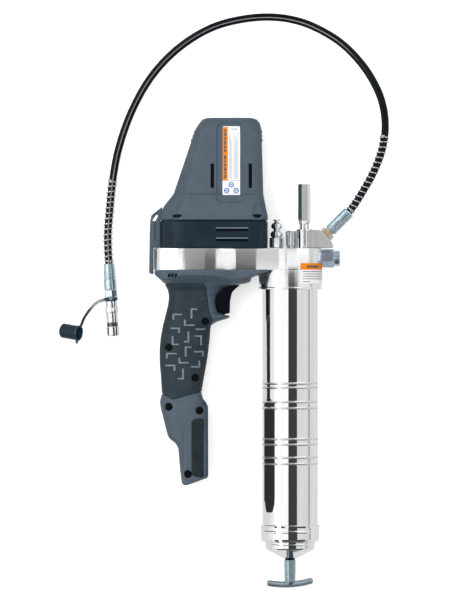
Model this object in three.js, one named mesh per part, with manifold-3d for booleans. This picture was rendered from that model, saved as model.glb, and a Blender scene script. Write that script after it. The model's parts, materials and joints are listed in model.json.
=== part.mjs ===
// A cordless grease gun for a 400 g cartridge, lying on its side, in millimetres.
// It is drawn around the barrel: X across the gun, Y along the barrel towards the motor, Z up from the
// surface it lies on, with X = Z = 0 on the barrel's axis and Y = 0 at the pump head's lower face.
// The last lines move that drawing so that the origin is the middle of the gun's footprint.
import * as THREE from "three";
import { mergeVertices } from "three/addons/utils/BufferGeometryUtils.js";
import Module from "manifold-3d";

const wasm = await Module();
wasm.setup();

// ---------- driving dimensions ----------
const GAP = 0.3; // between pieces that touch
const HALF_DEPTH = 35; // the gun's half thickness, so the surface it lies on is at z = -35

const HEAD_TOP = 22.5;
const HEAD_LOBE_R = 33;
const COLLAR_R = 32.5;
const COLLAR_BOTTOM = -20;
const SOCKET_R = 29.2;
const SOCKET_ROOF = -3;
const CRANK_X = -66;
const PUMP_Y = 12;
const PUMP_BORE_R = 4.35;
const OUTLET_X = 14;
const OUTLET_BORE_R = 1.8;

const BARREL_R = 28.6;
const BARREL_WALL = 1.2;
const BARREL_TOP = -4.6;
const BARREL_BOTTOM = -269.5;
const BEAD_Y = [-116.8, -121, -135.9, -142.2, -174, -179.6, -193, -199.4];
const ROD_R = 3;
const PISTON_TOP = -30;
const PISTON_BOTTOM = -45;

const CASE_BOTTOM = 22.8;
const CASE_TOP = 51.2;
const CASE_BORE_R = 27.4;
const COVER_BOTTOM = 51.5;
const COVER_TOP = 156.4;
const COVER_WALL = 3;

const GEAR_MODULE = 1;
const SUN_TEETH = 12;
const PLANET_TEETH = 15;
const RING_TEETH = 42;
const PLANET_COUNT = 3;
const PRESSURE_ANGLE = (25 * Math.PI) / 180;
const BACKLASH = 0.3;
const ADDENDUM = 0.8;
const DEDENDUM = 1.1;
const CARRIER_R = ((SUN_TEETH + PLANET_TEETH) * GEAR_MODULE) / 2;

const PAD_DEPTH = 1.5; // the rubber grip's thickness
const TRIGGER_HALF_WIDTH = 8;

const HOSE_R = 3.9;
const GUARD_R = 5;
const GUARD_BORE_R = 4.45;
const PORT_X = 36.4; // middle of the outlet block's sloping face
const PORT_Y = 35.4;
const PORT_TILT = Math.PI / 4;
const FERRULE_BORE_R = 4.5;

// ---------- materials ----------
function material(color, roughness, metalness) {
  return new THREE.MeshStandardMaterial({ color, roughness, metalness });
}
const CHROME = material(0xd9dcde, 0.12, 1);
const SATIN_STEEL = material(0xa9adaf, 0.4, 1);
const ZINC = material(0x9fb0bb, 0.35, 1);
const STEEL = material(0x8d9195, 0.35, 1);
const SPRING_STEEL = material(0xb9bdc0, 0.3, 1);
const COPPER = material(0x8a4a2c, 0.5, 0.8);
const SLATE_PLASTIC = material(0x515e6a, 0.55, 0);
const DARK_PLASTIC = material(0x243540, 0.5, 0);
const BLACK_PLASTIC = material(0x14161a, 0.5, 0);
const GRIP_RUBBER = material(0x2b3438, 0.8, 0);
const BLACK_RUBBER = material(0x15171a, 0.6, 0);
const BLACK_STEEL = material(0x1b1c1e, 0.4, 0.9);

// ---------- geometry helpers ----------

// A closed geometry as a solid that can be joined and cut.
function solidOf(geometry) {
  const bare = geometry.clone();
  bare.deleteAttribute("normal");
  bare.deleteAttribute("uv");
  const merged = mergeVertices(bare, 1e-4);
  return new wasm.Manifold(
    new wasm.Mesh({
      numProp: 3,
      vertProperties: merged.attributes.position.array,
      triVerts: new Uint32Array(merged.index.array),
    }),
  );
}

function geometryOf(solid) {
  const { vertProperties, triVerts } = solid.getMesh();
  const geometry = new THREE.BufferGeometry();
  geometry.setAttribute("position", new THREE.BufferAttribute(vertProperties, 3));
  geometry.setIndex(new THREE.BufferAttribute(triVerts, 1));
  geometry.computeVertexNormals();
  return geometry;
}

function cut(geometry, ...tools) {
  return geometryOf(tools.reduce((rest, tool) => rest.subtract(solidOf(tool)), solidOf(geometry)));
}

function join(geometry, ...others) {
  return geometryOf(others.reduce((sum, other) => sum.add(solidOf(other)), solidOf(geometry)));
}

function common(geometry, ...others) {
  return geometryOf(others.reduce((sum, other) => sum.intersect(solidOf(other)), solidOf(geometry)));
}

// A profile of [radius, y] points turned about Y. The profile goes up the outside.
function turned(profile, sides = 24) {
  return new THREE.LatheGeometry(
    profile.map(([radius, y]) => new THREE.Vector2(radius, y)),
    sides,
  );
}

// A round bar along Y from y0 to y1.
function bar(radius, y0, y1, sides = 24) {
  return turned([[0, y0], [radius, y0], [radius, y1], [0, y1]], sides);
}

// A ring along Y from y0 to y1.
function ring(outer, inner, y0, y1, sides = 24) {
  return turned([[inner, y0], [outer, y0], [outer, y1], [inner, y1], [inner, y0]], sides);
}

// A hexagonal bar along Y, measured across its flats, with a chamfer at both ends.
function hexBar(acrossFlats, y0, y1, chamfer = 0.6) {
  const corner = acrossFlats / Math.sqrt(3);
  const profile = [[0, y0], [corner - chamfer, y0], [corner, y0 + chamfer]];
  profile.push([corner, y1 - chamfer], [corner - chamfer, y1], [0, y1]);
  return turned(profile, 6);
}

function box(x0, x1, y0, y1, z0, z1) {
  const geometry = new THREE.BoxGeometry(x1 - x0, y1 - y0, z1 - z0);
  return geometry.translate((x0 + x1) / 2, (y0 + y1) / 2, (z0 + z1) / 2);
}

// An outline in X and Y, extruded along Z.
function slab(outline, z0, z1) {
  const corners = Array.isArray(outline) && outline.map(([x, y]) => new THREE.Vector2(x, y));
  const shape = corners ? new THREE.Shape(corners) : outline;
  const options = { depth: z1 - z0, bevelEnabled: false, curveSegments: 8 };
  return new THREE.ExtrudeGeometry(shape, options).translate(0, 0, z0);
}

// An outline of [x, y] points, listed clockwise, moved out by a distance all round.
function grown(points, distance) {
  return points.map(([x, y], i, all) => {
    const [x0, y0] = all[(i + all.length - 1) % all.length];
    const [x1, y1] = all[(i + 1) % all.length];
    const before = new THREE.Vector2(y0 - y, x - x0).normalize();
    const after = new THREE.Vector2(y - y1, x1 - x).normalize();
    const corner = before.clone().add(after);
    corner.multiplyScalar((2 * distance) / corner.lengthSq());
    return [x + corner.x, y + corner.y];
  });
}

// An outline in X and Z, extruded along Y, with a small chamfer round both faces.
function plate(shape, y0, y1, chamfer = 0, segments = 10) {
  const geometry = new THREE.ExtrudeGeometry(shape, {
    depth: y1 - y0 - 2 * chamfer,
    bevelEnabled: chamfer > 0,
    bevelThickness: chamfer,
    bevelSize: chamfer,
    bevelOffset: -chamfer,
    bevelSegments: 1,
    curveSegments: segments,
  });
  return geometry.rotateX(-Math.PI / 2).translate(0, y0 + chamfer, 0);
}

// Rings of [x, z] points at rising heights y, skinned into one closed solid.
function loft(rings) {
  const count = rings[0].points.length;
  const positions = [];
  for (const { y, points } of rings) {
    for (const [x, z] of points) positions.push(x, y, z);
  }
  const index = [];
  for (let level = 0; level + 1 < rings.length; level++) {
    for (let i = 0; i < count; i++) {
      const low = level * count + i;
      const lowNext = level * count + ((i + 1) % count);
      index.push(low, lowNext, low + count, lowNext, lowNext + count, low + count);
    }
  }
  const top = (rings.length - 1) * count;
  for (let i = 1; i + 1 < count; i++) {
    index.push(0, i + 1, i);
    index.push(top, top + i, top + i + 1);
  }
  const geometry = new THREE.BufferGeometry();
  geometry.setAttribute("position", new THREE.Float32BufferAttribute(positions, 3));
  geometry.setIndex(index);
  return geometry;
}

// Straight-line reading of a table of [y, value] rows whose y falls.
function read(table, y) {
  const below = table.findIndex((row) => row[0] <= y);
  if (below === 0) return table[0][1];
  if (below < 0) return table[table.length - 1][1];
  const [y0, v0] = table[below];
  const [y1, v1] = table[below - 1];
  return v0 + ((v1 - v0) * (y - y0)) / (y1 - y0);
}

// A wire wound about Y.
class Helix extends THREE.Curve {
  constructor(radius, y0, y1, turns) {
    super();
    Object.assign(this, { radius, y0, y1, turns });
  }
  getPoint(t, target = new THREE.Vector3()) {
    const angle = t * this.turns * Math.PI * 2;
    const y = this.y0 + t * (this.y1 - this.y0);
    return target.set(this.radius * Math.cos(angle), y, this.radius * Math.sin(angle));
  }
}

function disc(radius, sides) {
  const shape = new THREE.Shape();
  for (let i = 0; i < sides; i++) {
    const angle = (i * 2 * Math.PI) / sides;
    const method = i === 0 ? "moveTo" : "lineTo";
    shape[method](radius * Math.cos(angle), radius * Math.sin(angle));
  }
  return shape;
}

function coilSpring(radius, wireRadius, y0, y1, turns, stepsPerTurn) {
  return new THREE.ExtrudeGeometry(disc(wireRadius, 4), {
    steps: Math.round(turns * stepsPerTurn),
    extrudePath: new Helix(radius, y0 + wireRadius, y1 - wireRadius, turns),
    bevelEnabled: false,
  });
}

const gun = new THREE.Group();

// Adds a named mesh to a group; the mesh is returned so that it can be placed.
function add(group, name, geometry, finish) {
  const mesh = new THREE.Mesh(geometry, finish);
  mesh.name = name;
  group.add(mesh);
  return mesh;
}

// ---------- pump head ----------

// Plan of the head: a round nose at the gearbox end, a waist, and a round lobe over the barrel.
function headPlan(inset = 0) {
  const nose = { x: -105, r: HALF_DEPTH - inset };
  const waist = 29 - inset;
  const lobe = HEAD_LOBE_R - inset;
  const lobeEnd = (112 * Math.PI) / 180;
  const shape = new THREE.Shape();
  const lobeX = lobe * Math.cos(lobeEnd);
  const lobeZ = lobe * Math.sin(lobeEnd);
  shape.absarc(0, 0, lobe, -lobeEnd, lobeEnd, false);
  shape.bezierCurveTo(lobeX - 12, lobeZ - 2, -34, waist, -44, waist);
  shape.bezierCurveTo(-60, waist, -68, nose.r, -85, nose.r);
  shape.lineTo(nose.x, nose.r);
  shape.absarc(nose.x, 0, nose.r, Math.PI / 2, (Math.PI * 3) / 2, false);
  shape.lineTo(-85, -nose.r);
  shape.bezierCurveTo(-68, -nose.r, -60, -waist, -44, -waist);
  shape.bezierCurveTo(-34, -waist, lobeX - 12, -lobeZ + 2, lobeX, -lobeZ);
  return shape;
}

const WIRE_HOLE_X = -112;

function addPumpHead() {
  const body = plate(headPlan(), 0, HEAD_TOP, 0.9, 7);
  const collar = turned(
    [
      [0, COLLAR_BOTTOM],
      [COLLAR_R + 0.5, COLLAR_BOTTOM],
      [COLLAR_R + 0.5, COLLAR_BOTTOM + 1.6],
      [COLLAR_R, COLLAR_BOTTOM + 2.2],
      [COLLAR_R, 2],
      [0, 2],
    ],
    28,
  );
  const socket = bar(SOCKET_R, COLLAR_BOTTOM - 1, SOCKET_ROOF, 28);
  const inlet = bar(10, SOCKET_ROOF - 1, 3, 16);
  const inletPort = bar(3.2, 2, PUMP_Y, 12).translate(3, 0, 0);
  const crankCavity = bar(22, 7, HEAD_TOP + 1, 20).translate(CRANK_X, 0, 0);
  const pumpBore = bar(PUMP_BORE_R, CRANK_X, 19, 16).rotateZ(-Math.PI / 2).translate(0, PUMP_Y, 0);
  const plugBore = bar(6.4, 18.5, 40, 16).rotateZ(-Math.PI / 2).translate(0, PUMP_Y, 0);
  const plugSeat = box(31.8, 40, 1.5, HEAD_TOP - 0.6, -10.6, 10.6);
  const outlet = bar(OUTLET_BORE_R, PUMP_Y, HEAD_TOP + 1, 12).translate(OUTLET_X, 0, 0);
  const wireHole = bar(4, -1, HEAD_TOP + 1, 12).translate(WIRE_HOLE_X, 0, 0);
  const hollows = [socket, inlet, inletPort, crankCavity, pumpBore, plugBore, plugSeat, outlet, wireHole];
  add(gun, "pump_head", cut(join(body, collar), ...hollows), CHROME);
}

function addPumpPlunger(group) {
  const yoke = box(-7.3, 7.3, -2.5, 2.5, -12, 12);
  const slot = box(-3.3, 3.3, -1.4, 4, -9.4, 9.4);
  const neck = box(7, 17, -2.5, 2.5, -3.4, 3.4);
  const rod = bar(3.9, 15.6, 71, 12).rotateZ(-Math.PI / 2);
  add(group, "pump_plunger", join(cut(yoke, slot), neck, rod), STEEL);
}

function addPumpEndPlug() {
  const plug = new THREE.Group();
  plug.position.set(0, PUMP_Y, 0);
  plug.rotation.z = -Math.PI / 2;
  gun.add(plug);
  const shank = bar(6, 19, 34.5, 16);
  const boss = turned([[0, 45], [8, 45], [8, 50.9], [7.4, 51.5], [0, 51.5]], 20);
  const hex = hexBar(17, 32.1, 45.8, 0.9).rotateY((13.6 * Math.PI) / 180);
  add(plug, "pump_end_plug", join(hex, shank, boss), STEEL);
}

// ---------- outlet block, its valves and the small fittings on the head ----------

const BLOCK_TOP = 41.2;
const BLOCK_HALF_DEPTH = 12.5;

function addOutletBlock() {
  const side = [
    [OUTLET_X, CASE_BOTTOM],
    [44.6, CASE_BOTTOM],
    [43, 29],
    [30.4, BLOCK_TOP],
    [OUTLET_X, BLOCK_TOP],
  ];
  const body = slab(side, -BLOCK_HALF_DEPTH, BLOCK_HALF_DEPTH);
  const tower = bar(8, CASE_BOTTOM, BLOCK_TOP + 0.3, 24).translate(OUTLET_X + 1, 0, 0);
  const ballBore = bar(3.4, CASE_BOTTOM - 1, 38.5, 12).translate(OUTLET_X, 0, 0);
  const crossBore = bar(2.4, 0, 15, 10).rotateZ(-Math.PI / 2).translate(OUTLET_X, 31, 0);
  const portBore = bar(4.6, -4.8, 3, 12).rotateZ(-PORT_TILT).translate(PORT_X, PORT_Y, 0);
  const portDrill = bar(2.4, -9.5, 0, 10).rotateZ(-PORT_TILT).translate(PORT_X, PORT_Y, 0);
  add(gun, "outlet_block", cut(join(body, tower), ballBore, crossBore, portBore, portDrill), SATIN_STEEL);
}

function addReliefValve() {
  const hex = hexBar(11.5, 50.7, 88.6, 0.5);
  const neck = turned([[0, 41.8], [5, 41.8], [5, 47.2], [6.2, 50.9], [0, 50.9]], 18);
  const port = bar(1.1, -9, 0, 8).rotateX(Math.PI / 2).translate(2.2, 47.6, 0);
  const valve = add(gun, "relief_valve", cut(join(hex, neck), port), CHROME);
  valve.position.x = OUTLET_X + 0.8;
  valve.rotation.y = (17 * Math.PI) / 180;
}

function addLoaderPlug() {
  const profile = [[0, 22.8], [6.4, 22.8], [6.4, 23.6], [5.7, 24.4], [5.7, 39.6], [5, 40.3], [0, 40.3]];
  add(gun, "loader_plug", turned(profile, 16), CHROME).position.set(2, 0, -7);
}

const BLEEDER_X = -13.8;

function addBleeder() {
  const hex = hexBar(13, 22.8, 33.4, 0.7);
  const neck = turned([[0, 33], [4.6, 33], [6.5, 35.6], [6.5, 36.6], [5.4, 37.6], [0, 37.6]], 16);
  const bore = bar(3.6, 27, 40, 12);
  add(gun, "bleeder_body", cut(join(hex, neck), bore), STEEL).position.x = BLEEDER_X;
  const stem = [
    [0, 30.5],
    [3.1, 30.5],
    [3.1, 39.5],
    [5.2, 42],
    [5.8, 44.6],
    [5.2, 47.2],
    [2.2, 49.4],
    [2.2, 50.2],
    [4, 50.8],
    [4, 52],
    [0, 52],
  ];
  add(gun, "bleeder_stem", turned(stem, 16), CHROME).position.x = BLEEDER_X;
}

function addCheckValve() {
  const ballR = 2.6;
  const ballCentre = HEAD_TOP + Math.sqrt(ballR ** 2 - OUTLET_BORE_R ** 2) + GAP;
  const ball = new THREE.SphereGeometry(ballR, 8, 6);
  add(gun, "check_ball", ball, STEEL).position.set(OUTLET_X, ballCentre, 0);
  const spring = coilSpring(2.4, 0.4, ballCentre + ballR + 0.2, 38.2, 4, 7);
  add(gun, "check_spring", spring, SPRING_STEEL).position.x = OUTLET_X;
}

// ---------- barrel and follower ----------

function addBarrel(group) {
  const beadHeight = 0.5;
  const beadHalf = 1.1;
  const inner = BARREL_R - BARREL_WALL;
  const profile = [[inner, BARREL_TOP], [inner, BARREL_BOTTOM], [BARREL_R, BARREL_BOTTOM]];
  for (const y of [...BEAD_Y].reverse()) {
    profile.push([BARREL_R, y - beadHalf], [BARREL_R + beadHeight, y], [BARREL_R, y + beadHalf]);
  }
  profile.push([BARREL_R, BARREL_TOP], [inner, BARREL_TOP]);
  add(group, "barrel", turned(profile, 20), CHROME);
}

function addBarrelEndCap(group) {
  const outside = [
    [30.7, -262.6],
    [29, -262.6],
    [29, -270],
    [24.2, -270.4],
    [24.2, -285.2],
    [5.5, -295.2],
    [5.5, -296.8],
    [7.4, -296.8],
    [25.7, -286.2],
    [25.7, -278.6],
    [30.4, -277.6],
    [30.4, -264.6],
    [30.7, -264.2],
    [30.7, -262.6],
  ];
  add(group, "barrel_end_cap", turned(outside, 20), CHROME);
}

function addFollower(group) {
  add(group, "rod_gland", ring(5, ROD_R + 0.45, -298, -291.5, 16), BLACK_STEEL);
  const spring = coilSpring(21, 1, -269.8, PISTON_BOTTOM - 0.5, 7, 8);
  add(group, "follower_spring", spring, SPRING_STEEL);
  add(group, "follower_rod", bar(ROD_R, -312, PISTON_BOTTOM - 0.4, 12), STEEL);
  const wiper = [
    [0, PISTON_BOTTOM],
    [24.5, PISTON_BOTTOM],
    [24.5, -42],
    [26.8, -39],
    [26.8, -34],
    [24, -31.5],
    [8, PISTON_TOP],
    [0, PISTON_TOP],
  ];
  add(group, "follower_piston", turned(wiper, 20), BLACK_RUBBER);
}

function addTHandle(group) {
  const stem = bar(5.9, -324, -298.4, 14);
  const rodHole = bar(ROD_R + 0.4, -312.4, -298, 10);
  const halfSpan = 24.2;
  const sag = new THREE.QuadraticBezierCurve3(
    new THREE.Vector3(-halfSpan, -319.4, 0),
    new THREE.Vector3(0, -328.4, 0),
    new THREE.Vector3(halfSpan, -319.4, 0),
  );
  const sweep = { steps: 10, extrudePath: sag, bevelEnabled: false };
  const crossBar = new THREE.ExtrudeGeometry(disc(2.9, 8), sweep);
  const ends = [-1, 1].map((side) =>
    new THREE.SphereGeometry(3.1, 8, 6).translate(side * halfSpan, -319.6, 0),
  );
  const handle = add(group, "t_handle", cut(join(stem, crossBar, ...ends), rodHole), ZINC);
  handle.rotation.y = (18 * Math.PI) / 180;
}

// ---------- gearbox and motor ----------

// A rectangle in X and Z with its own corner radius at the left and the right.
function roundedPlan(left, right, half, leftR, rightR) {
  const shape = new THREE.Shape();
  const quarter = Math.PI / 2;
  shape.absarc(right - rightR, -half + rightR, rightR, -quarter, 0, false);
  shape.absarc(right - rightR, half - rightR, rightR, 0, quarter, false);
  shape.absarc(left + leftR, half - leftR, leftR, quarter, 2 * quarter, false);
  shape.absarc(left + leftR, -half + leftR, leftR, 2 * quarter, 3 * quarter, false);
  return shape;
}

const CASE_LEFT = -134;
const CASE_RIGHT = -23;
const COVER_SCREWS = [
  [-115.8, 29.3],
  [-33.6, 30],
  [-115.8, -29.3],
  [-33.6, -30],
];
const COVER_SCREW_SEAT = 57;

function addGearcase() {
  const body = plate(roundedPlan(CASE_LEFT, CASE_RIGHT, HALF_DEPTH, 26, 12), CASE_BOTTOM, CASE_TOP, 0.5, 6);
  const gearBore = bar(CASE_BORE_R, 29.6, CASE_TOP + 1, 24).translate(CRANK_X, 0, 0);
  const bearingBore = bar(13.5, CASE_BOTTOM - 1, 30, 20).translate(CRANK_X, 0, 0);
  const wireSpace = plate(roundedPlan(-127, -97, 22, 10, 3), CASE_BOTTOM - 1, CASE_TOP + 1, 0, 3);
  const vents = [];
  for (const side of [-1, 1]) {
    for (const y of [31.4, 41.5]) {
      vents.push(box(-76.4, -43.4, y - 1.8, y + 1.8, side * HALF_DEPTH - 3, side * HALF_DEPTH + 3));
    }
  }
  const screwHoles = COVER_SCREWS.map(([x, z]) => bar(2.1, 38, CASE_TOP + 1, 10).translate(x, 0, z));
  add(gun, "gearcase", cut(body, gearBore, bearingBore, wireSpace, ...vents, ...screwHoles), DARK_PLASTIC);
}

// The half angle that a tooth fills at a radius, from the centre of the tooth, on an involute gear.
function halfTooth(teeth, radius, thicken) {
  const pitchR = (teeth * GEAR_MODULE) / 2;
  const baseR = pitchR * Math.cos(PRESSURE_ANGLE);
  const involute = (angle) => Math.tan(angle) - angle;
  const here = Math.acos(Math.min(1, baseR / Math.max(radius, baseR)));
  return Math.PI / (2 * teeth) + thicken / (2 * pitchR) + involute(PRESSURE_ANGLE) - involute(here);
}

// Outline of a gear with a tooth on the +X axis. A negative thicken thins the teeth.
function gearOutline(teeth, rootR, tipR, thicken) {
  const points = [];
  for (let tooth = 0; tooth < teeth; tooth++) {
    const middle = (tooth * 2 * Math.PI) / teeth;
    for (const [side, radius] of [[-1, rootR], [-1, tipR], [1, tipR], [1, rootR]]) {
      const angle = middle + side * halfTooth(teeth, radius, thicken);
      points.push(new THREE.Vector2(radius * Math.cos(angle), radius * Math.sin(angle)));
    }
  }
  return points;
}

function gear(teeth, bore, y0, y1) {
  const pitchR = (teeth * GEAR_MODULE) / 2;
  const shape = new THREE.Shape(gearOutline(teeth, pitchR - DEDENDUM, pitchR + ADDENDUM, -BACKLASH / 2));
  shape.holes.push(disc(bore, 8));
  return plate(shape, y0, y1);
}

function addRingGear() {
  const pitchR = (RING_TEETH * GEAR_MODULE) / 2;
  const shape = disc(CASE_BORE_R - 0.5, 24);
  const gaps = gearOutline(RING_TEETH, pitchR - ADDENDUM, pitchR + DEDENDUM, BACKLASH / 2);
  shape.holes.push(new THREE.Path(gaps));
  add(gun, "ring_gear", plate(shape, 32.3, 42), STEEL).position.x = CRANK_X;
}

function addCrank(group) {
  const plateDisc = bar(19.4, 30.2, 32, 20);
  const shaft = bar(7.5, 20, 30.5, 16);
  const crankDisc = bar(15, 17.2, 21.8, 16);
  const pin = bar(3, 14.9, 18, 8).translate(0, 0, 6);
  const planetPins = [];
  for (let i = 0; i < PLANET_COUNT; i++) {
    const angle = (i * 2 * Math.PI) / PLANET_COUNT;
    const x = CARRIER_R * Math.cos(angle);
    const z = -CARRIER_R * Math.sin(angle);
    planetPins.push(bar(2.1, 31, 41.8, 8).translate(x, 0, z));
  }
  add(group, "planet_carrier", join(plateDisc, shaft, crankDisc, pin, ...planetPins), STEEL);
}

function addPlanet(group, number) {
  const angle = ((number - 1) * 2 * Math.PI) / PLANET_COUNT;
  const planet = add(group, "planet_gear_" + number, gear(PLANET_TEETH, 2.6, 32.5, 41.5), STEEL);
  planet.position.set(CARRIER_R * Math.cos(angle), 0, -CARRIER_R * Math.sin(angle));
  planet.rotation.y = angle;
}

function addMotor(group) {
  add(group, "sun_gear", gear(SUN_TEETH, 2.9, 32.5, 43.2), STEEL);
  const shaft = bar(2.5, 33, 117.2, 8);
  const rotor = bar(14, 56, 100, 16);
  const commutator = bar(8, 103, 109.5, 12);
  add(group, "motor_armature", join(shaft, rotor, commutator), COPPER);
  add(group, "crank_bearing", ring(13, 8, 23.2, 28.8, 20), STEEL);
  add(group, "motor_mount_plate", ring(26.2, 5, 44.4, 47.1, 20), SATIN_STEEL);
  const can = [
    [4, 47.5],
    [22.5, 47.5],
    [22.5, 112],
    [20.6, 112],
    [20.6, 49.5],
    [4, 49.5],
    [4, 47.5],
  ];
  add(group, "motor_can", turned(can, 20), SATIN_STEEL);
  add(group, "motor_end_bell", ring(22.3, 3.1, 112.4, 117.6, 20), BLACK_PLASTIC);
}

// ---------- motor cover ----------

// [y, left, right, half depth, left corner radius, right corner radius], from the rim up.
const COVER_SECTIONS = [
  [COVER_BOTTOM, -133.9, -22.8, 35, 24, 12],
  [55.2, -133.2, -22.8, 35, 24, 12],
  [65.2, -130.2, -25, 34.4, 22, 12],
  [77.2, -120.6, -27.4, 33.2, 18, 10],
  [79.2, -119.6, -27.5, 32.4, 18, 10],
  [105, -110.8, -28.2, 31.6, 17, 10],
  [131.4, -101.9, -29, 30.6, 16, 10],
  [145.4, -97, -29.6, 30, 15, 10],
  [150.8, -93.4, -31, 28.8, 13, 9],
  [154.6, -90.4, -34, 26.6, 11, 8],
  [COVER_TOP, -86, -39, 22.6, 8, 6],
];

function coverLoft(sections, inset, y0, y1, arcPoints) {
  const rings = [];
  for (const [y, left, right, half, leftR, rightR] of sections) {
    const shape = roundedPlan(left + inset, right - inset, half - inset, leftR - inset, rightR - inset);
    const height = Math.min(Math.max(y, y0), y1);
    if (rings.length && height - rings[rings.length - 1].y < 0.01) continue;
    rings.push({ y: height, points: shape.getPoints(arcPoints).map((p) => [p.x, -p.y]) });
  }
  return rings;
}

// Drops the doubled points where two arcs meet, so every ring has the same simple outline.
function clean(rings) {
  const keep = rings[0].points.map((point, i, all) => {
    const before = all[(i + all.length - 1) % all.length];
    return Math.hypot(point[0] - before[0], point[1] - before[1]) > 1e-6;
  });
  return rings.map(({ y, points }) => ({ y, points: points.filter((_, i) => keep[i]) }));
}

function addMotorCover() {
  const outside = loft(clean(coverLoft(COVER_SECTIONS, 0, COVER_BOTTOM, COVER_TOP, 4)));
  const main = COVER_SECTIONS.filter((section, i) => [0, 3, 7, 10].includes(i));
  const inside = loft(clean(coverLoft(main, COVER_WALL, COVER_BOTTOM - 1, COVER_TOP - COVER_WALL, 2)));
  const bosses = COVER_SCREWS.map(([x, z]) => box(x - 6, x + 6, COVER_BOTTOM, 60, z - 6, z + 6));
  const shell = join(cut(outside, inside), ...bosses.map((boss) => common(boss, outside)));
  const tools = [];
  for (const [x, z] of COVER_SCREWS) {
    tools.push(bar(2.2, COVER_BOTTOM - 1, COVER_SCREW_SEAT + 1, 8).translate(x, 0, z));
    tools.push(bar(4.8, COVER_SCREW_SEAT, 80, 8).translate(x, 0, z));
  }
  for (const side of [-1, 1]) {
    const face = side * 31;
    for (const x of [-80.2, -40.9]) tools.push(box(x - 1.45, x + 1.45, 84, 109, face - 5, face + 5));
  }
  add(gun, "motor_cover", cut(shell, ...tools), SLATE_PLASTIC);
}

function addCoverScrew(number, [x, z]) {
  const head = turned([[0, 57.3], [3.7, 57.3], [3.7, 59.6], [3, 60.2], [0, 60.2]], 8);
  const shank = bar(1.75, 39, 57.5, 6);
  add(gun, "cover_screw_" + number, join(head, shank), BLACK_STEEL).position.set(x, 0, z);
}

// ---------- handle ----------

const HANDLE_LEFT = [
  [-0.3, -140],
  [-4.8, -139.5],
  [-14.1, -129],
  [-21, -125.2],
  [-28.3, -124.3],
  [-35.6, -125.2],
  [-46.8, -128],
  [-57.7, -130.8],
  [-70.7, -133.1],
  [-84, -134.1],
  [-95.5, -133.9],
  [-111.1, -132.6],
  [-126.7, -131.7],
  [-134.5, -134.2],
  [-142.4, -133.2],
  [-151.8, -130.8],
  [-170, -126.2],
  [-174, -124.1],
  [-177.9, -118.2],
  [-183.3, -115.1],
  [-203.8, -113.5],
  [-219.3, -111.5],
];
const HANDLE_RIGHT = [
  [-0.3, -17.9],
  [-5.6, -32.5],
  [-7.2, -39.4],
  [-13.4, -41],
  [-14.9, -51.5],
  [-17.3, -67.4],
  [-25.8, -74.7],
  [-33.9, -76],
  [-44.9, -72.8],
  [-48.4, -64.2],
  [-50.5, -64.6],
  [-51.8, -73],
  [-57.7, -82],
  [-70.7, -82.9],
  [-90.8, -85.3],
  [-113.8, -89.4],
  [-124.5, -91.2],
  [-129, -90.6],
  [-133.4, -89.1],
  [-136.6, -85.9],
  [-144, -84.6],
  [-214, -84.4],
];
const HANDLE_DEPTH = [
  [-0.3, 34.6],
  [-5.6, 34.2],
  [-9, 30],
  [-14.1, 23.5],
  [-21, 19],
  [-45, 17.8],
  [-100, 17.2],
  [-129, 17.8],
  [-142, 19.6],
  [-230, 20],
];
const HANDLE_SQUARENESS = [
  [-0.3, 8],
  [-7.2, 6],
  [-14.1, 3.8],
  [-28, 2.7],
  [-120, 2.5],
  [-142, 3.4],
  [-177, 4.2],
  [-230, 4.4],
];
const HANDLE_LEVELS = [
  -0.3, -4.8, -7.2, -13.4, -17.3, -25.8, -33.9, -44.9, -48.4, -50.5, -51.8, -57.7, -70.7, -84, -98, -113.8,
  -124.5, -129, -134.5, -144, -151.8, -170, -177.9, -183.3, -228,
];
const RING_POINTS = 16;

function handleSection(y, inset) {
  const left = read(HANDLE_LEFT, y) + inset;
  const right = read(HANDLE_RIGHT, y) - inset;
  return {
    centre: (left + right) / 2,
    half: (right - left) / 2,
    depth: read(HANDLE_DEPTH, y) - inset,
    power: 2 / read(HANDLE_SQUARENESS, y),
  };
}

function handleLoft(inset) {
  const rings = [...HANDLE_LEVELS].reverse().map((y) => {
    const { centre, half, depth, power } = handleSection(y, inset);
    const points = [];
    for (let i = 0; i < RING_POINTS; i++) {
      const angle = ((i + 0.5) * 2 * Math.PI) / RING_POINTS;
      const [c, s] = [Math.cos(angle), Math.sin(angle)];
      const x = centre + half * Math.sign(c) * Math.abs(c) ** power;
      points.push([x, -depth * Math.sign(s) * Math.abs(s) ** power]);
    }
    return { y, points };
  });
  return loft(rings);
}

function handleSurfaceDepth(x, y) {
  const { centre, half, depth, power } = handleSection(y, 0);
  const reach = Math.min(1, Math.abs(x - centre) / half);
  return depth * (1 - reach ** (2 / power)) ** (power / 2);
}

const DOCK_TILT = Math.atan2(7.6, 21.3);
const DOCK_POINT = [-107.2, -221.7];

// Everything beyond the sloping lower face of the handle, moved in by a distance.
function beyondDock(distance) {
  const block = box(-40, 60, -40, 0, -30, 30).translate(0, distance, 0);
  return block.rotateZ(DOCK_TILT).translate(DOCK_POINT[0], DOCK_POINT[1], 0);
}

const HANDLE_SCREWS = [
  [-87.1, -53.1],
  [-124.9, -79.6],
  [-97.2, -110.9],
  [-124.9, -140.7],
  [-92.9, -144.5],
  [-104.9, -209.8],
];

// The space inside the handle, for the switch and the leads.
const CAVITY_HALF_DEPTH = 11;
const CAVITY_OUTLINE = [
  [-122, -6],
  [-119, -30],
  [-125, -70],
  [-124.5, -125],
  [-122, -150],
  [-110, -186],
  [-108.8, -212],
  [-90, -206],
  [-90, -140],
  [-97, -125],
  [-90, -70],
  [-84, -42],
  [-84, -6],
];

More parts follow.
